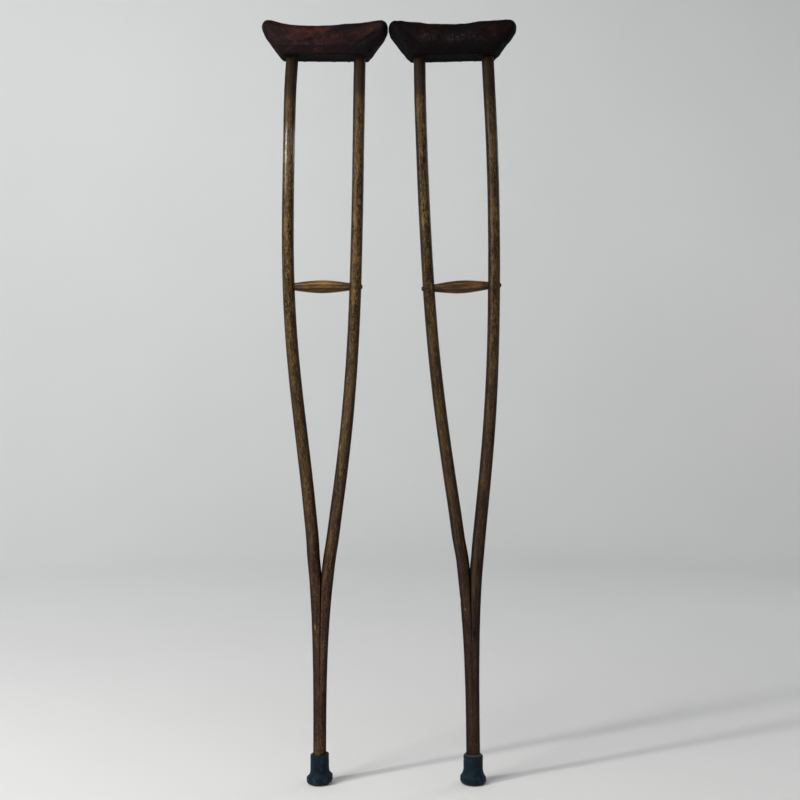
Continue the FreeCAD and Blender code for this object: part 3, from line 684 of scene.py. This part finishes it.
# ---------------------------------------------------------------------------
# rubber tips: a worn collar and flare, a little skewed, over the same sole
# ---------------------------------------------------------------------------
def make_tip(c, skew, lean, rise, bevel, seed, mat):
    x, bore = c["shaft_x"], c["end_r"]
    wall = bore + 4.65
    prof = []

    def arc(p0, pm, p1, n):
        # circle through three points, sampled from p0 to p1
        (ax, ay), (bx, by), (cx, cy) = p0, pm, p1
        d = 2 * (ax * (by - cy) + bx * (cy - ay) + cx * (ay - by))
        ux = ((ax * ax + ay * ay) * (by - cy) + (bx * bx + by * by) * (cy - ay) + (cx * cx + cy * cy) * (ay - by)) / d
        uy = ((ax * ax + ay * ay) * (cx - bx) + (bx * bx + by * by) * (ax - cx) + (cx * cx + cy * cy) * (bx - ax)) / d
        a0, am, a1 = (math.atan2(q - uy, p - ux) for p, q in (p0, pm, p1))
        r = math.hypot(ax - ux, ay - uy)
        while am - a0 > math.pi:
            am -= 2 * math.pi
        while am - a0 < -math.pi:
            am += 2 * math.pi
        while a1 - am > math.pi:
            a1 -= 2 * math.pi
        while a1 - am < -math.pi:
            a1 += 2 * math.pi
        return [(ux + r * math.cos(a0 + (a1 - a0) * i / n), uy + r * math.sin(a0 + (a1 - a0) * i / n)) for i in range(1, n + 1)]

    prof = [(0.0, 0.0), (3.5, 0.0), (6.9, 0.0), (7.0, 0.3), (7.15, 1.4), (8.85, 1.4), (9.0, 0.3), (9.1, 0.0), (10.6, 0.0),
            (12.1, 0.0), (12.2, 0.3), (12.35, 1.4), (14.05, 1.4), (14.2, 0.3), (14.3, 0.0), (15.6, 0.0), (17.0, 0.0), (17.6, 0.05)]
    prof += arc((17.6, 0.05), (20.45, 2.3), (21.7, 6.6), 8)
    prof += [(21.74, 8.4), (21.7, 10.2)]
    prof += arc((21.7, 10.2), (21.25, 12.1), (20.1, 13.6), 5)
    prof += arc((20.1, 13.6), (wall + 1.35, 18.8), (wall, 25.5), 12)
    prof += [(wall, z) for z in (27.0, 29.0, 31.5, 34.0, 36.5, 39.0, 41.5, 44.0, 46.0)]
    if bevel:
        prof += [(wall - 0.15, 46.7), (wall - 0.7, 47.6), (wall - 1.7, 48.5), (bore + 1.9, 49.4)]
    else:
        prof += arc((wall, 48.0), (wall - 0.53, 49.47), (wall - 1.8, 50.0), 5)
    prof += [(bore + 1.5, 49.9), (bore + 0.9, 49.7), (bore + 0.3, 48.8), (bore + 0.05, 46.0)]
    n = 112
    verts, ring = [], []
    for r, z in prof:
        for i in range(n):
            a = 2 * math.pi * i / n
            ca, sa = math.cos(a), math.sin(a)
            rr = r
            inner = r < bore + 1.2 and z > 20
            # the sole is worn away at one side, the collar and flare sit skewed on the shaft
            tilt = r * ca * (skew + (lean - skew) * smooth01(z, 14.0, 40.0))
            base = max(0.0, tilt + abs(skew) * 3.0)
            up = smooth01(z, 0.5, 9.0)
            dz = base * (1 - up) * (0.7 if z < 1.5 else 1.0) + tilt * up
            dz += rise * up * (1.0 - smooth01(z, 8.5, 19.0))
            if z > 1.6 and not inner:
                q = smooth01(z, 1.0, 9.0)
                rr += q * (0.30 * fnoise(ca * 1.6 + seed, sa * 1.6, z / 13.0) + 0.12 * fnoise(ca * 5 + seed, sa * 5, z / 4.0))
                dz += 0.25 * fnoise(ca * 2 + seed, sa * 2, 5.0) * smooth01(z, 44.0, 49.0)
                if 20.5 < r:
                    # chewed, worn edge of the flare
                    rr -= 0.55 * max(0.0, fnoise(ca * 3 + seed + 4, sa * 3, z / 7.0)) * q
            verts.append(((x + rr * ca) / 1000.0, rr * sa / 1000.0, max(0.0, z + dz) / 1000.0))
            ring.append(bevel * smooth01(z, 47.4, 48.6) * (1.0 if r > bore + 0.7 else 0.4))
    faces = []
    for j in range(1, len(prof) - 1):
        for i in range(n):
            i2 = (i + 1) % n
            faces.append((j * n + i, j * n + i2, (j + 1) * n + i2, (j + 1) * n + i))
    for i in range(n):
        faces.append((i, n + (i + 1) % n, n + i))
    o = new_object(c["name"] + "_worn_tip", verts, faces)
    set_attr(o.data, "ring", ring)
    bm = bmesh.new()
    bm.from_mesh(o.data)
    bmesh.ops.remove_doubles(bm, verts=[v for v in bm.verts if abs(v.co.x - x / 1000) < 1e-7 and abs(v.co.y) < 1e-7], dist=1e-6)
    bmesh.ops.recalc_face_normals(bm, faces=bm.faces)
    bm.to_mesh(o.data)
    bm.free()
    if sum(p.normal.z * p.area for p in o.data.polygons if p.center.z < 0.0005) > 0:
        o.data.flip_normals()
    o.data.materials.append(mat)
    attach(o, c["name"])
    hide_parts(c["name"] + "_rubber_tip")
    return o


# ---------------------------------------------------------------------------
# leather saddles: stuffed, concave along the top, wrapped over a board
# crown and underside lines in the front view, millimetres
# ---------------------------------------------------------------------------
PAD = {
    "left_crutch": {
        "top": [(-211.0, 1258.0), (-210.2, 1263.8), (-206.6, 1268.8), (-199.6, 1270.9), (-191.8, 1269.9), (-182.4, 1267.4),
                (-168.4, 1264.8), (-152.9, 1263.3), (-129.6, 1262.5), (-106.3, 1262.5), (-82.9, 1263.6), (-59.6, 1265.3),
                (-43.9, 1266.9), (-28.4, 1268.9), (-15.9, 1270.1), (-8.1, 1268.8), (-3.2, 1264.2), (-1.3, 1258.0)],
        "low": [(-211.0, 1258.0), (-210.0, 1252.8), (-206.2, 1246.4), (-197.6, 1236.4), (-189.9, 1225.6), (-184.3, 1217.2),
                (-180.6, 1211.6), (-176.4, 1209.6), (-168.0, 1209.5), (-104.4, 1209.0), (-42.0, 1208.5), (-34.2, 1208.6),
                (-30.2, 1212.2), (-24.0, 1220.8), (-13.2, 1235.6), (-4.4, 1247.6), (-1.8, 1252.6), (-1.3, 1258.0)]},
    "right_crutch": {
        "top": [(-0.3, 1257.6), (1.0, 1263.4), (6.0, 1268.8), (12.4, 1270.0), (24.9, 1269.3), (40.4, 1267.5), (63.7, 1265.7),
                (87.1, 1264.6), (110.4, 1264.8), (129.1, 1266.1), (141.6, 1268.2), (157.1, 1270.1), (180.4, 1271.6),
                (196.0, 1272.1), (203.0, 1271.0), (208.6, 1266.8), (211.4, 1261.0), (212.2, 1256.4)],
        "low": [(-0.3, 1257.6), (0.9, 1251.0), (8.9, 1240.6), (18.4, 1229.4), (27.2, 1218.2), (33.2, 1210.2), (38.4, 1207.6),
                (48.0, 1207.6), (107.6, 1209.0), (168.0, 1210.4), (176.2, 1210.8), (181.4, 1214.0), (185.8, 1220.0),
                (190.5, 1227.8), (197.0, 1235.6), (204.7, 1244.4), (210.4, 1250.6), (212.2, 1256.4)]},
}


def end_table(pts):
    x0, x1 = pts[0][0], pts[-1][0]
    mid, half = (x0 + x1) / 2, (x1 - x0) / 2
    tau = np.array([math.acos(max(-1.0, min(1.0, (mid - p[0]) / half))) for p in pts])
    z = np.array([p[1] for p in pts])
    return spline(tau, z), mid, half


def pad_form(c):
    """Closed skin lofted through cross-sections: flat board below, upright sides, domed crown."""
    p = PAD[c["name"]]
    ftop, mid, half = end_table(p["top"])
    flow, _, _ = end_table(p["low"])
    rows = []
    n_row = 110
    for i in range(n_row + 1):
        tau = math.pi * (i + 0.35) / (n_row + 0.7)
        x = mid - half * math.cos(tau)
        zt, zb = float(ftop(tau)), float(flow(tau))
        h = max(0.6, zt - zb)
        e = half - abs(x - mid)
        k = max(0.0, 1.0 - e / 13.0)
        d = 27.9 * (1.0 - 0.58 * k ** 3)
        rb, hc = min(4.5, 0.3 * h), min(23.0, 0.6 * h)
        side = [(d * s, zb) for s in np.linspace(0.0, 1.0 - rb / d, 9)]
        side += [(d - rb + rb * math.sin(t), zb + rb - rb * math.cos(t)) for t in np.linspace(0.25, 1.0, 5) * math.pi / 2]
        z1, z2 = zb + rb, zt - hc
        side += [(d, z1 + (z2 - z1) * s) for s in np.linspace(0.0, 1.0, 9)[1:]]
        side += [(d * math.cos(t) ** 0.86 if math.cos(t) > 0 else 0.0, z2 + hc * math.sin(t)) for t in np.linspace(0.0, 1.0, 19)[1:-1] * math.pi / 2]
        ring = [(x, y, z) for y, z in side] + [(x, 0.0, zt)] + [(x, -y, z) for y, z in reversed(side[1:])]
        rows.append(ring)
    m = len(rows[0])
    verts = [(v[0] / 1000, v[1] / 1000, v[2] / 1000) for r in rows for v in r]
    faces = []
    for j in range(len(rows) - 1):
        for i in range(m):
            i2 = (i + 1) % m
            faces.append((j * m + i, (j + 1) * m + i, (j + 1) * m + i2, j * m + i2))
    faces.append(tuple(range(m)))
    faces.append(tuple((len(rows) - 1) * m + i for i in reversed(range(m))))
    o = new_object(c["name"] + "_leather_saddle", verts, faces)
    fix_normals(o)
    return o


def bake(o):
    """Applies every modifier to the mesh."""
    dg = bpy.context.evaluated_depsgraph_get()
    me = bpy.data.meshes.new_from_object(o.evaluated_get(dg), preserve_all_data_layers=False, depsgraph=dg)
    old = o.data
    o.modifiers.clear()
    o.data = me
    bpy.data.meshes.remove(old)
    me.polygons.foreach_set("use_smooth", [True] * len(me.polygons))


def coords(me):
    a = np.zeros(len(me.vertices) * 3, dtype=np.float32)
    me.vertices.foreach_get("co", a)
    return a.reshape(-1, 3).astype(np.float64)


def normals(me):
    a = np.zeros(len(me.vertices) * 3, dtype=np.float32)
    me.vertices.foreach_get("normal", a)
    return a.reshape(-1, 3).astype(np.float64)


def put_coords(me, v):
    me.vertices.foreach_set("co", v.astype(np.float32).ravel())
    me.update()


def puff(o, held, cap, pressure):
    """Stuffs the skin: cloth under inner pressure, held where it is tacked to the board."""
    base = coords(o.data)
    vg = o.vertex_groups.new(name="held")
    for i in np.nonzero(held(base, normals(o.data)))[0]:
        vg.add([int(i)], 1.0, "REPLACE")
    cl = o.modifiers.new("cloth", "CLOTH")
    s = cl.settings
    s.quality = 6
    s.mass = 0.25
    s.tension_stiffness = s.compression_stiffness = 18.0
    s.shear_stiffness = 8.0
    s.bending_stiffness = 1.2
    s.vertex_group_mass = "held"
    s.use_pressure = True
    s.uniform_pressure_force = pressure
    s.effector_weights.gravity = 0.0
    cl.collision_settings.use_collision = False
    cl.point_cache.frame_start, cl.point_cache.frame_end = 1, 20
    for f in range(1, 21):
        scene.frame_set(f)
    dg = bpy.context.evaluated_depsgraph_get()
    ev = o.evaluated_get(dg).to_mesh()
    new = coords(ev)
    o.evaluated_get(dg).to_mesh_clear()
    o.modifiers.clear()
    o.vertex_groups.clear()
    scene.frame_set(1)
    mv = new - base
    ln = np.linalg.norm(mv, axis=1)
    ln[ln < 1e-9] = 1e-9
    mv *= (cap * np.tanh(ln / cap) / ln)[:, None]
    put_coords(o.data, base + mv)


def groove(px, pz, a, b, width):
    """Bell-shaped weight round the line from a to b in the front view."""
    ax, az = a
    bx, bz = b
    t = np.clip(((px - ax) * (bx - ax) + (pz - az) * (bz - az)) / ((bx - ax) ** 2 + (bz - az) ** 2), 0, 1)
    d2 = (px - ax - t * (bx - ax)) ** 2 + (pz - az - t * (bz - az)) ** 2
    return np.exp(-d2 / width ** 2) * (0.35 + 0.65 * np.sin(np.pi * np.clip(t, 0.06, 0.94)))


def blob(px, pz, x, z, rx, rz, turn=0.0):
    c, s = math.cos(turn), math.sin(turn)
    u, v = (px - x) * c + (pz - z) * s, -(px - x) * s + (pz - z) * c
    return np.exp(-(u / rx) ** 2 - (v / rz) ** 2)


PAD_FOLDS = {
    # from, to (front view), width, depth, side: -1 front, 1 back, 0 both
    "left_crutch": [((-102, 1243), (-46, 1259), 2.6, 1.5, -1), ((-56, 1222), (-18, 1245), 2.8, 1.3, -1),
                    ((-166, 1262), (-146, 1240), 2.0, 0.6, -1), ((-196, 1256), (-170, 1230), 2.4, 0.7, -1),
                    ((-128, 1254), (-108, 1236), 2.2, 0.55, -1), ((-80, 1236), (-52, 1250), 2.2, 0.55, -1),
                    ((-170, 1228), (-120, 1233), 2.4, 0.5, -1),
                    ((-160, 1255), (-120, 1240), 2.6, 0.8, 1), ((-70, 1258), (-44, 1230), 2.4, 0.8, 1),
                    ((-190, 1240), (-150, 1250), 2.4, 0.6, 1), ((-100, 1226), (-60, 1236), 2.6, 0.6, 1)],
    "right_crutch": [((60, 1250), (92, 1234), 2.2, 0.7, -1), ((20, 1256), (44, 1234), 2.4, 0.7, -1),
                     ((150, 1256), (176, 1232), 2.2, 0.7, -1), ((110, 1254), (150, 1246), 2.4, 0.6, -1),
                     ((180, 1258), (196, 1240), 2.2, 0.6, -1), ((96, 1226), (140, 1230), 2.2, 0.6, -1),
                     ((40, 1250), (90, 1240), 2.6, 0.8, 1), ((130, 1258), (168, 1234), 2.4, 0.8, 1),
                     ((60, 1228), (110, 1236), 2.4, 0.6, 1)],
}


def clear_board(o, c, above, gap):
    """The leather lies over the board, nowhere closer to it than its own thickness."""
    board = bpy.data.objects[c["name"] + "_saddle_core"]
    m = board.matrix_world
    tree = BVHTree.FromPolygons([m @ p.co for p in board.data.vertices], [tuple(f.vertices) for f in board.data.polygons])
    me = o.data
    v, nrm = coords(me), normals(me)
    push = np.zeros(len(v))
    for i in np.nonzero(above)[0]:
        k = Vector(nrm[i])
        hit = tree.ray_cast(Vector(v[i]) + k * 0.006, -k, 0.006 + gap)
        if hit[0] is not None:
            push[i] = gap + 0.006 - hit[3]
    e = np.zeros(len(me.edges) * 2, dtype=np.int32)
    me.edges.foreach_get("vertices", e)
    a, b = e.reshape(-1, 2).T
    count = np.bincount(np.concatenate([a, b]), minlength=len(v)) + 1.0
    for _ in range(2):
        grown = push.copy()
        np.maximum.at(grown, a, push[b])
        np.maximum.at(grown, b, push[a])
        push = grown
    for _ in range(3):
        total = push.copy()
        np.add.at(total, a, push[b])
        np.add.at(total, b, push[a])
        push = total / count
    push[~above] = 0.0
    put_coords(me, v + nrm * push[:, None])


def leather_work(o, c, seed):
    """Lumps of stuffing, folds, the crease over the board's edge, pleats at the ends and puckers at the tacks."""
    me = o.data
    v, nrm = coords(me) * 1000.0, normals(me)
    sx, lean = c["saddle"][0], math.radians(c["saddle"][1])
    rel_x, rel_z = v[:, 0] - sx, v[:, 2] - 1210.8
    u = rel_x * math.cos(lean) - rel_z * math.sin(lean)
    w = rel_x * math.sin(lean) + rel_z * math.cos(lean)
    y = v[:, 1]
    left = c is LEFT
    n = len(v)
    lump, crackle, wave, wr, mott = (np.zeros(n) for _ in range(5))
    for i in range(n):
        lump[i] = fractal(u[i] / 34.0 + seed, y[i] / 30.0, w[i] / 24.0, 3)
        crackle[i] = fnoise(u[i] / 6.0 + seed, y[i] / 6.0, w[i] / 6.5)
        wave[i] = fnoise(u[i] / 13.0 + seed, 3.1, y[i] / 30.0)
        wr[i] = abs(fnoise(u[i] / 3.1 + seed, y[i] / 11.0, w[i] / 15.0))
        mott[i] = fnoise(u[i] / 21.0 + 9.0 + seed, y[i] / 18.0, w[i] / 12.0)
    face = np.abs(nrm[:, 1])
    upright = np.clip((face - 0.45) / 0.35, 0, 1)
    crown = np.clip((nrm[:, 2] - 0.35) / 0.4, 0, 1)
    under = (nrm[:, 2] < -0.86) & (w < 0.2)
    soft_under = np.clip((w + 1.9) / 2.5, 0, 1)
    d = (0.95 if left else 0.8) * lump
    d += (0.20 if left else 0.50) * crackle
    d += (0.15 if left else 0.45) * wave * crown
    # fine upright wrinkles gathered over the lower half
    low_band = np.exp(-((w - 15.0) / 11.0) ** 2) * upright
    middle = np.exp(-((u - (6.0 if left else 4.0)) / (60.0 if left else 44.0)) ** 2)
    d -= (0.55 if left else 1.15) * (0.25 - np.minimum(wr, 0.25)) * 4.0 * 0.55 * low_band * (0.35 + 0.65 * middle)
    for a, b, width, depth, way in PAD_FOLDS[c["name"]]:
        ok = upright * (1.0 if way == 0 else (np.sign(y) == way))
        g = groove(v[:, 0] + 1.2 * lump, v[:, 2] + 1.6 * mott, a, b, width)
        h = groove(v[:, 0], v[:, 2] - width * 1.5, a, b, width * 1.2)
        d += ok * (-depth * g + 0.45 * depth * h)
    # crease where the leather turns over the board
    hc = 9.4 + 1.3 * mott + 0.004 * np.abs(u)
    crease = np.exp(-((w - hc) / 1.3) ** 2) * np.clip(upright + (np.abs(u) > 70) * 0.4, 0, 1)
    d -= 0.85 * crease * (0.7 + 0.5 * lump)
    d += 0.35 * np.exp(-((w - hc - 3.4) / 2.4) ** 2) * upright
    # puckers rising from the row of tacks
    d -= 0.55 * (0.5 + 0.5 * np.cos(2 * np.pi * u / 24.8)) * np.exp(-np.maximum(w + 1.8, 0) / 5.5) * upright
    # pleats gathered under the slanting ends
    slant = np.clip((-nrm[:, 2] - 0.25) / 0.3, 0, 1) * (np.abs(u) > 68) * soft_under
    d -= slant * 0.75 * np.maximum(0.0, np.cos(2 * np.pi * (y + 3.0 * mott) / 12.5)) * np.clip((np.abs(u) - 66) / 8, 0, 1)
    d *= soft_under * 0.85 + 0.15 * (w > -1.0)
    d = np.clip(d, -1.9 + 1.0 * np.clip((np.abs(u) - 66.0) / 12.0, 0, 1), 1.5)
    v += nrm * d[:, None]
    # flat where it is tacked to the board, with the turned-in margin standing over the lining
    flat_z = 1210.8 + (-1.8 - rel_x * math.sin(lean)) / math.cos(lean)
    v[under, 2] = flat_z[under] + 0.05 * lump[under]
    edge = np.abs(y) - 13.0 - 1.2 * mott
    lining = under & (np.abs(u) < 66.0 + 1.5 * mott)
    v[lining, 2] += 0.8 * np.clip(-edge[lining] / 1.6, 0, 1)
    put_coords(me, v / 1000.0)
    clear_board(o, c, (w > 0.4) & ~under, 0.0009)
    # stains and wear that follow the form, plus painted shade (dark attribute, hollows) and painted sheen (pale
    # patches)
    front = (y < 0)
    if left:
        rust = 1.05 * blob(v[:, 0], v[:, 2], -113, 1248, 23, 9, -0.1) + 0.55 * blob(v[:, 0], v[:, 2], -150, 1249, 20, 9, -0.7)
        rust += 0.85 * blob(v[:, 0], v[:, 2], -28, 1249, 20, 8, 0.6) + 0.35 * blob(v[:, 0], v[:, 2], -66, 1240, 40, 10)
        dark = 0.85 * blob(v[:, 0], v[:, 2], -78, 1250, 24, 6, 0.3) + 0.95 * blob(v[:, 0], v[:, 2], -32, 1228, 22, 9, 0.75)
        dark += 0.5 * blob(v[:, 0], v[:, 2], -180, 1214, 14, 6)
        # painted shade along two of the folds
        dark += 0.8 * groove(v[:, 0], v[:, 2], (-102, 1243), (-46, 1259), 3.6) + 0.5 * groove(v[:, 0], v[:, 2], (-196, 1256), (-170, 1230), 3.5)
        # darker towards the lower right of the front
        dark += 0.45 * np.clip((v[:, 0] + 100.0) / 80.0, 0, 1) * np.clip((1236.0 - v[:, 2]) / 14.0, 0, 1)
        # painted shade: the front darkened from left to right, away from the light
        dark += 0.26 * np.clip((v[:, 0] + 165.0) / 60.0, 0, 1) + 0.20 * np.clip((v[:, 0] + 84.0) / 40.0, 0, 1)
        # painted sheen on the lower left of the front
        painted_sheen = 0.8 * blob(v[:, 0], v[:, 2], -168, 1233, 16, 6) + 0.4 * blob(v[:, 0], v[:, 2], -120, 1226, 40, 6)
        rust = np.where(front, rust, 0.8 * blob(v[:, 0], v[:, 2], -150, 1246, 34, 10) + 0.7 * blob(v[:, 0], v[:, 2], -52, 1248, 26, 9))
        dark = np.where(front, dark, 0.8 * blob(v[:, 0], v[:, 2], -100, 1252, 26, 7) + 0.6 * blob(v[:, 0], v[:, 2], -180, 1232, 18, 10))
        rust = rust + 0.4 * crown * blob(v[:, 0], y, -105, 0, 60, 20)
    else:
        rust = 0.55 * blob(v[:, 0], v[:, 2], 70, 1256, 26, 8) + 0.45 * blob(v[:, 0], v[:, 2], 168, 1247, 30, 12)
        rust += 0.4 * blob(v[:, 0], v[:, 2], 56, 1240, 22, 8) + 0.9 * blob(v[:, 0], v[:, 2], 12, 1251, 2.5, 2.0)
        dark = 0.8 * blob(v[:, 0], v[:, 2], 26, 1240, 18, 18) + 0.5 * blob(v[:, 0], v[:, 2], 120, 1258, 20, 6)
        # painted sheen, broken on the next line into upright streaks of painted highlight along the wrinkles
        painted_sheen = 1.0 * blob(v[:, 0], v[:, 2], 60, 1237, 11, 8) + 1.0 * blob(v[:, 0], v[:, 2], 118, 1236, 34, 8)
        painted_sheen *= 0.2 + 1.1 * np.clip((wr - 0.10) / 0.22, 0, 1)
        rust = np.where(front, rust, 0.5 * blob(v[:, 0], v[:, 2], 60, 1248, 30, 10) + 0.4 * blob(v[:, 0], v[:, 2], 150, 1250, 26, 9))
    # painted shade at the rounded ends, where the leather turns away
    rim = np.clip((np.abs(u) - 88.0) / 12.0, 0, 1) * (0.4 + 0.6 * np.clip(1.2 - face, 0, 1))
    set_attr(me, "rust", rust)
    # dark: stains plus painted shade in the crease, on the slanting ends and over the underside
    set_attr(me, "dark", np.clip(dark + rim + 0.8 * crease + 0.35 * slant + under, 0, 1))
    # painted highlight on the ridges of the pleats at the slanting ends
    set_attr(me, "painted_sheen", painted_sheen + 0.9 * slant * (0.5 + 0.5 * np.cos(2 * np.pi * (y + 3.0 * mott) / 12.5)))
    set_attr(me, "lining", lining.astype(float) * np.clip(-edge / 1.6, 0, 1))
    set_attr(me, "rough", np.clip(under + slant + 0.5 * (np.abs(u) > 96), 0, 1))
    set_attr(me, "hollow_shade", np.clip(-d * 1.1, 0, 1) * (1 - under))
    set_attr(me, "local", np.stack([u, y, w], 1) / 1000.0 + seed, "FLOAT_VECTOR")


def leather(name, left):
    t = Tree(name)
    p = t.attr("local").outputs["Vector"]
    rust, dark, painted_sheen = (t.attr(k).outputs["Fac"] for k in ("rust", "dark", "painted_sheen"))
    lining, hollow_shade = t.attr("lining").outputs["Fac"], t.attr("hollow_shade").outputs["Fac"]
    big = t.noise(t.scale(p, (38, 38, 55)), 4.0, 0.6, 0.7)
    mid = t.noise(t.scale(p, (120, 120, 150)), 4.0, 0.62, 0.6)
    fine = t.noise(t.scale(p, (520, 520, 520)), 4.0, 0.65)
    grain = t.noise(t.scale(p, (1500, 1500, 1500)), 3.0, 0.6)
    crack = t.add("ShaderNodeTexVoronoi", {"Vector": t.scale(p, (330, 330, 240)), "Scale": 1.0, "Randomness": 1.0},
                  feature="DISTANCE_TO_EDGE").outputs["Distance"]
    lines = t.step(crack, 0.0, 0.09, 1.0, 0.0)
    if left:
        base = t.ramp(mid, [(0.30, srgb(18, 9, 10)), (0.48, srgb(33, 17, 17)), (0.60, srgb(45, 23, 21)), (0.74, srgb(64, 35, 31))])
        rusty = t.ramp(mid, [(0.30, srgb(46, 18, 10)), (0.50, srgb(78, 35, 17)), (0.70, srgb(116, 58, 28))])
        black = srgb(11, 8, 10)
        sheen = srgb(80, 56, 60)
    else:
        base = t.ramp(mid, [(0.30, srgb(5, 4, 4)), (0.48, srgb(9, 5, 5)), (0.60, srgb(17, 8, 7)), (0.74, srgb(34, 15, 12))])
        rusty = t.ramp(mid, [(0.30, srgb(22, 8, 7)), (0.50, srgb(40, 15, 11)), (0.70, srgb(68, 27, 18))])
        black = srgb(6, 5, 6)
        sheen = srgb(54, 50, 58)
    col = t.mix(t.math("MULTIPLY", t.math("ADD", rust, t.step(big, 0.56, 0.72, 0.0, 0.25)), t.step(fine, 0.32, 0.58), clamp=True), base, rusty)
    # stains and painted shade from the dark attribute, mixed toward black
    col = t.mix(t.math("MULTIPLY", dark, t.step(fine, 0.2, 0.5, 0.75, 1.0), clamp=True), col, black)
    col = t.mix(t.step(big, 0.30, 0.44, 0.65, 0.0), col, black)
    # painted sheen: pale patches mixed toward the sheen colour
    worn = t.math("MULTIPLY", painted_sheen, t.step(fine, 0.42, 0.60), clamp=True)
    col = t.mix(t.math("MULTIPLY", worn, 0.65), col, sheen)
    # painted shade in the hollows of folds and wrinkles
    col = t.mix(t.math("MULTIPLY", hollow_shade, 0.75), col, black)
    col = t.mix(t.math("MULTIPLY", lines, 0.45), col, black)
    flecks = t.step(grain, 0.66, 0.74, 0.0, 0.40)
    col = t.mix(flecks, col, rusty)
    cloth = t.ramp(fine, [(0.35, srgb(7, 5, 6)), (0.65, srgb(15, 9, 11))])
    col = t.mix(lining, col, cloth)
    rough = t.math("ADD", t.step(mid, 0.32, 0.66, 0.38, 0.56), t.math("MULTIPLY", lines, 0.18))
    rough = t.math("ADD", rough, t.math("MULTIPLY", t.attr("rough").outputs["Fac"], 0.42))
    h = t.math("ADD", t.math("MULTIPLY", fine, 0.7), t.math("MULTIPLY", grain, 0.3))
    nor = t.bump(h, 0.35, 0.0007)
    nor = t.bump(t.math("SUBTRACT", mid, t.math("MULTIPLY", lines, 0.6)), 0.35 if left else 0.5, 0.0009, nor)
    return t.surface(col, rough, nor, Specular_IOR_Level=0.07 if left else 0.05)


def make_pads():
    for c, seed in ((LEFT, 2.3), (RIGHT, 8.7)):
        o = pad_form(c)
        m = o.modifiers.new("remesh", "REMESH")
        m.mode = "VOXEL"
        m.voxel_size = 0.0034
        bake(o)
        lean = math.radians(c["saddle"][1])

        def held(v, nr, c=c, lean=lean):
            w = (v[:, 0] * 1000 - c["saddle"][0]) * math.sin(lean) + (v[:, 2] * 1000 - 1210.8) * math.cos(lean)
            return w < 1.0
        puff(o, held, 0.0022, 4.0)
        m = o.modifiers.new("smooth", "SMOOTH")
        m.factor, m.iterations = 0.5, 2
        m = o.modifiers.new("fine", "SUBSURF")
        m.levels = m.render_levels = 1
        bake(o)
        leather_work(o, c, seed)
        o.data.materials.append(leather("leather_" + c["name"], c is LEFT))
        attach(o, c["name"])
        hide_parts(c["name"] + "_saddle_cover", c["name"] + "_saddle_padding")


# ---------------------------------------------------------------------------
# stage and light
# ---------------------------------------------------------------------------
def make_stage():
    prof = [(0.0, 0.0), (1.0, 0.0), (2.2, 0.0)]
    r0, rad = 2.9, 1.3
    for i in range(13):
        a = math.pi / 2 * i / 12
        prof.append((r0 + rad * math.sin(a), rad - rad * math.cos(a)))
    prof.append((r0 + rad, 3.2))
    n = 96
    verts, faces = [(0.02, 0, 0)], []
    for r, z in prof[1:]:
        for i in range(n):
            a = 2 * math.pi * i / n
            verts.append((0.02 + r * math.cos(a), r * math.sin(a), z))
    for i in range(n):
        faces.append((0, 1 + i, 1 + (i + 1) % n))
    for j in range(len(prof) - 2):
        for i in range(n):
            i2 = (i + 1) % n
            faces.append((1 + j * n + i, 1 + (j + 1) * n + i, 1 + (j + 1) * n + i2, 1 + j * n + i2))
    o = new_object("studio_floor", verts, faces)
    t = Tree("pale_floor")
    p = t.add("ShaderNodeTexCoord").outputs["Object"]
    n1 = t.noise(t.scale(p, (1.3, 1.3, 1.3)), 3.0, 0.5)
    col = t.ramp(n1, [(0.3, (0.79, 0.80, 0.803)), (0.7, (0.81, 0.818, 0.82))])
    o.data.materials.append(t.surface(col, 0.75, Specular_IOR_Level=0.2))


def area(name, loc, target, size, power, color=(1, 1, 1)):
    d = bpy.data.lights.new(name, "AREA")
    d.shape = "RECTANGLE"
    d.size, d.size_y = size
    d.energy = power
    d.color = color
    o = bpy.data.objects.new(name, d)
    scene.collection.objects.link(o)
    o.location = loc
    o.rotation_euler = (Vector(target) - Vector(loc)).to_track_quat("-Z", "Y").to_euler()
    o.visible_camera = False
    return o


def make_light():
    w = bpy.data.worlds.new("studio")
    scene.world = w
    w.use_nodes = True
    bg = w.node_tree.nodes["Background"]
    bg.inputs[0].default_value = (0.93, 0.96, 1.0, 1.0)
    bg.inputs[1].default_value = 0.04
    area("key", (-2.0, -1.8, 2.25), (0.0, 0.0, 0.75), (1.3, 1.5), 55.0, (1.0, 0.985, 0.955))
    area("streak", (-2.3, -1.45, 1.85), (0.0, 0.0, 0.85), (0.20, 1.0), 35.0, (1.0, 0.975, 0.93))
    area("top", (-0.5, -0.9, 3.1), (0.0, 0.0, 0.2), (1.2, 1.2), 16.0, (1.0, 0.99, 0.97))
    area("wall", (-0.9, 1.6, 3.0), (-1.9, 4.4, 0.9), (2.6, 0.7), 25.0, (0.97, 0.985, 1.0))
    area("back", (2.1, 1.7, 2.0), (0.0, 0.0, 0.7), (1.1, 1.2), 10.0, (0.98, 0.99, 1.0))
    # a wash on the walls the camera has behind it and beside it
    area("wall_front", (0.7, -1.9, 3.0), (1.4, -4.4, 0.9), (2.6, 0.7), 13.0, (0.98, 0.99, 1.0))
    area("wall_left", (-1.8, 0.2, 3.0), (-4.4, 0.6, 0.9), (2.6, 0.7), 11.0, (0.98, 0.99, 1.0))
    area("wall_right", (1.9, -0.4, 3.0), (4.4, -0.9, 0.9), (2.6, 0.7), 9.0, (0.98, 0.99, 1.0))


make_bows()
make_grip(LEFT, 2.0)
make_grip(RIGHT, 6.0)
make_pads()
tip_rubber = rubber("worn_rubber", True)
make_tip(LEFT, 0.115, 0.085, 2.0, 0.0, 1.7, tip_rubber)
make_tip(RIGHT, -0.050, -0.015, 0.2, 1.0, 6.4, tip_rubber)
paint_cad()
make_stage()
make_light()
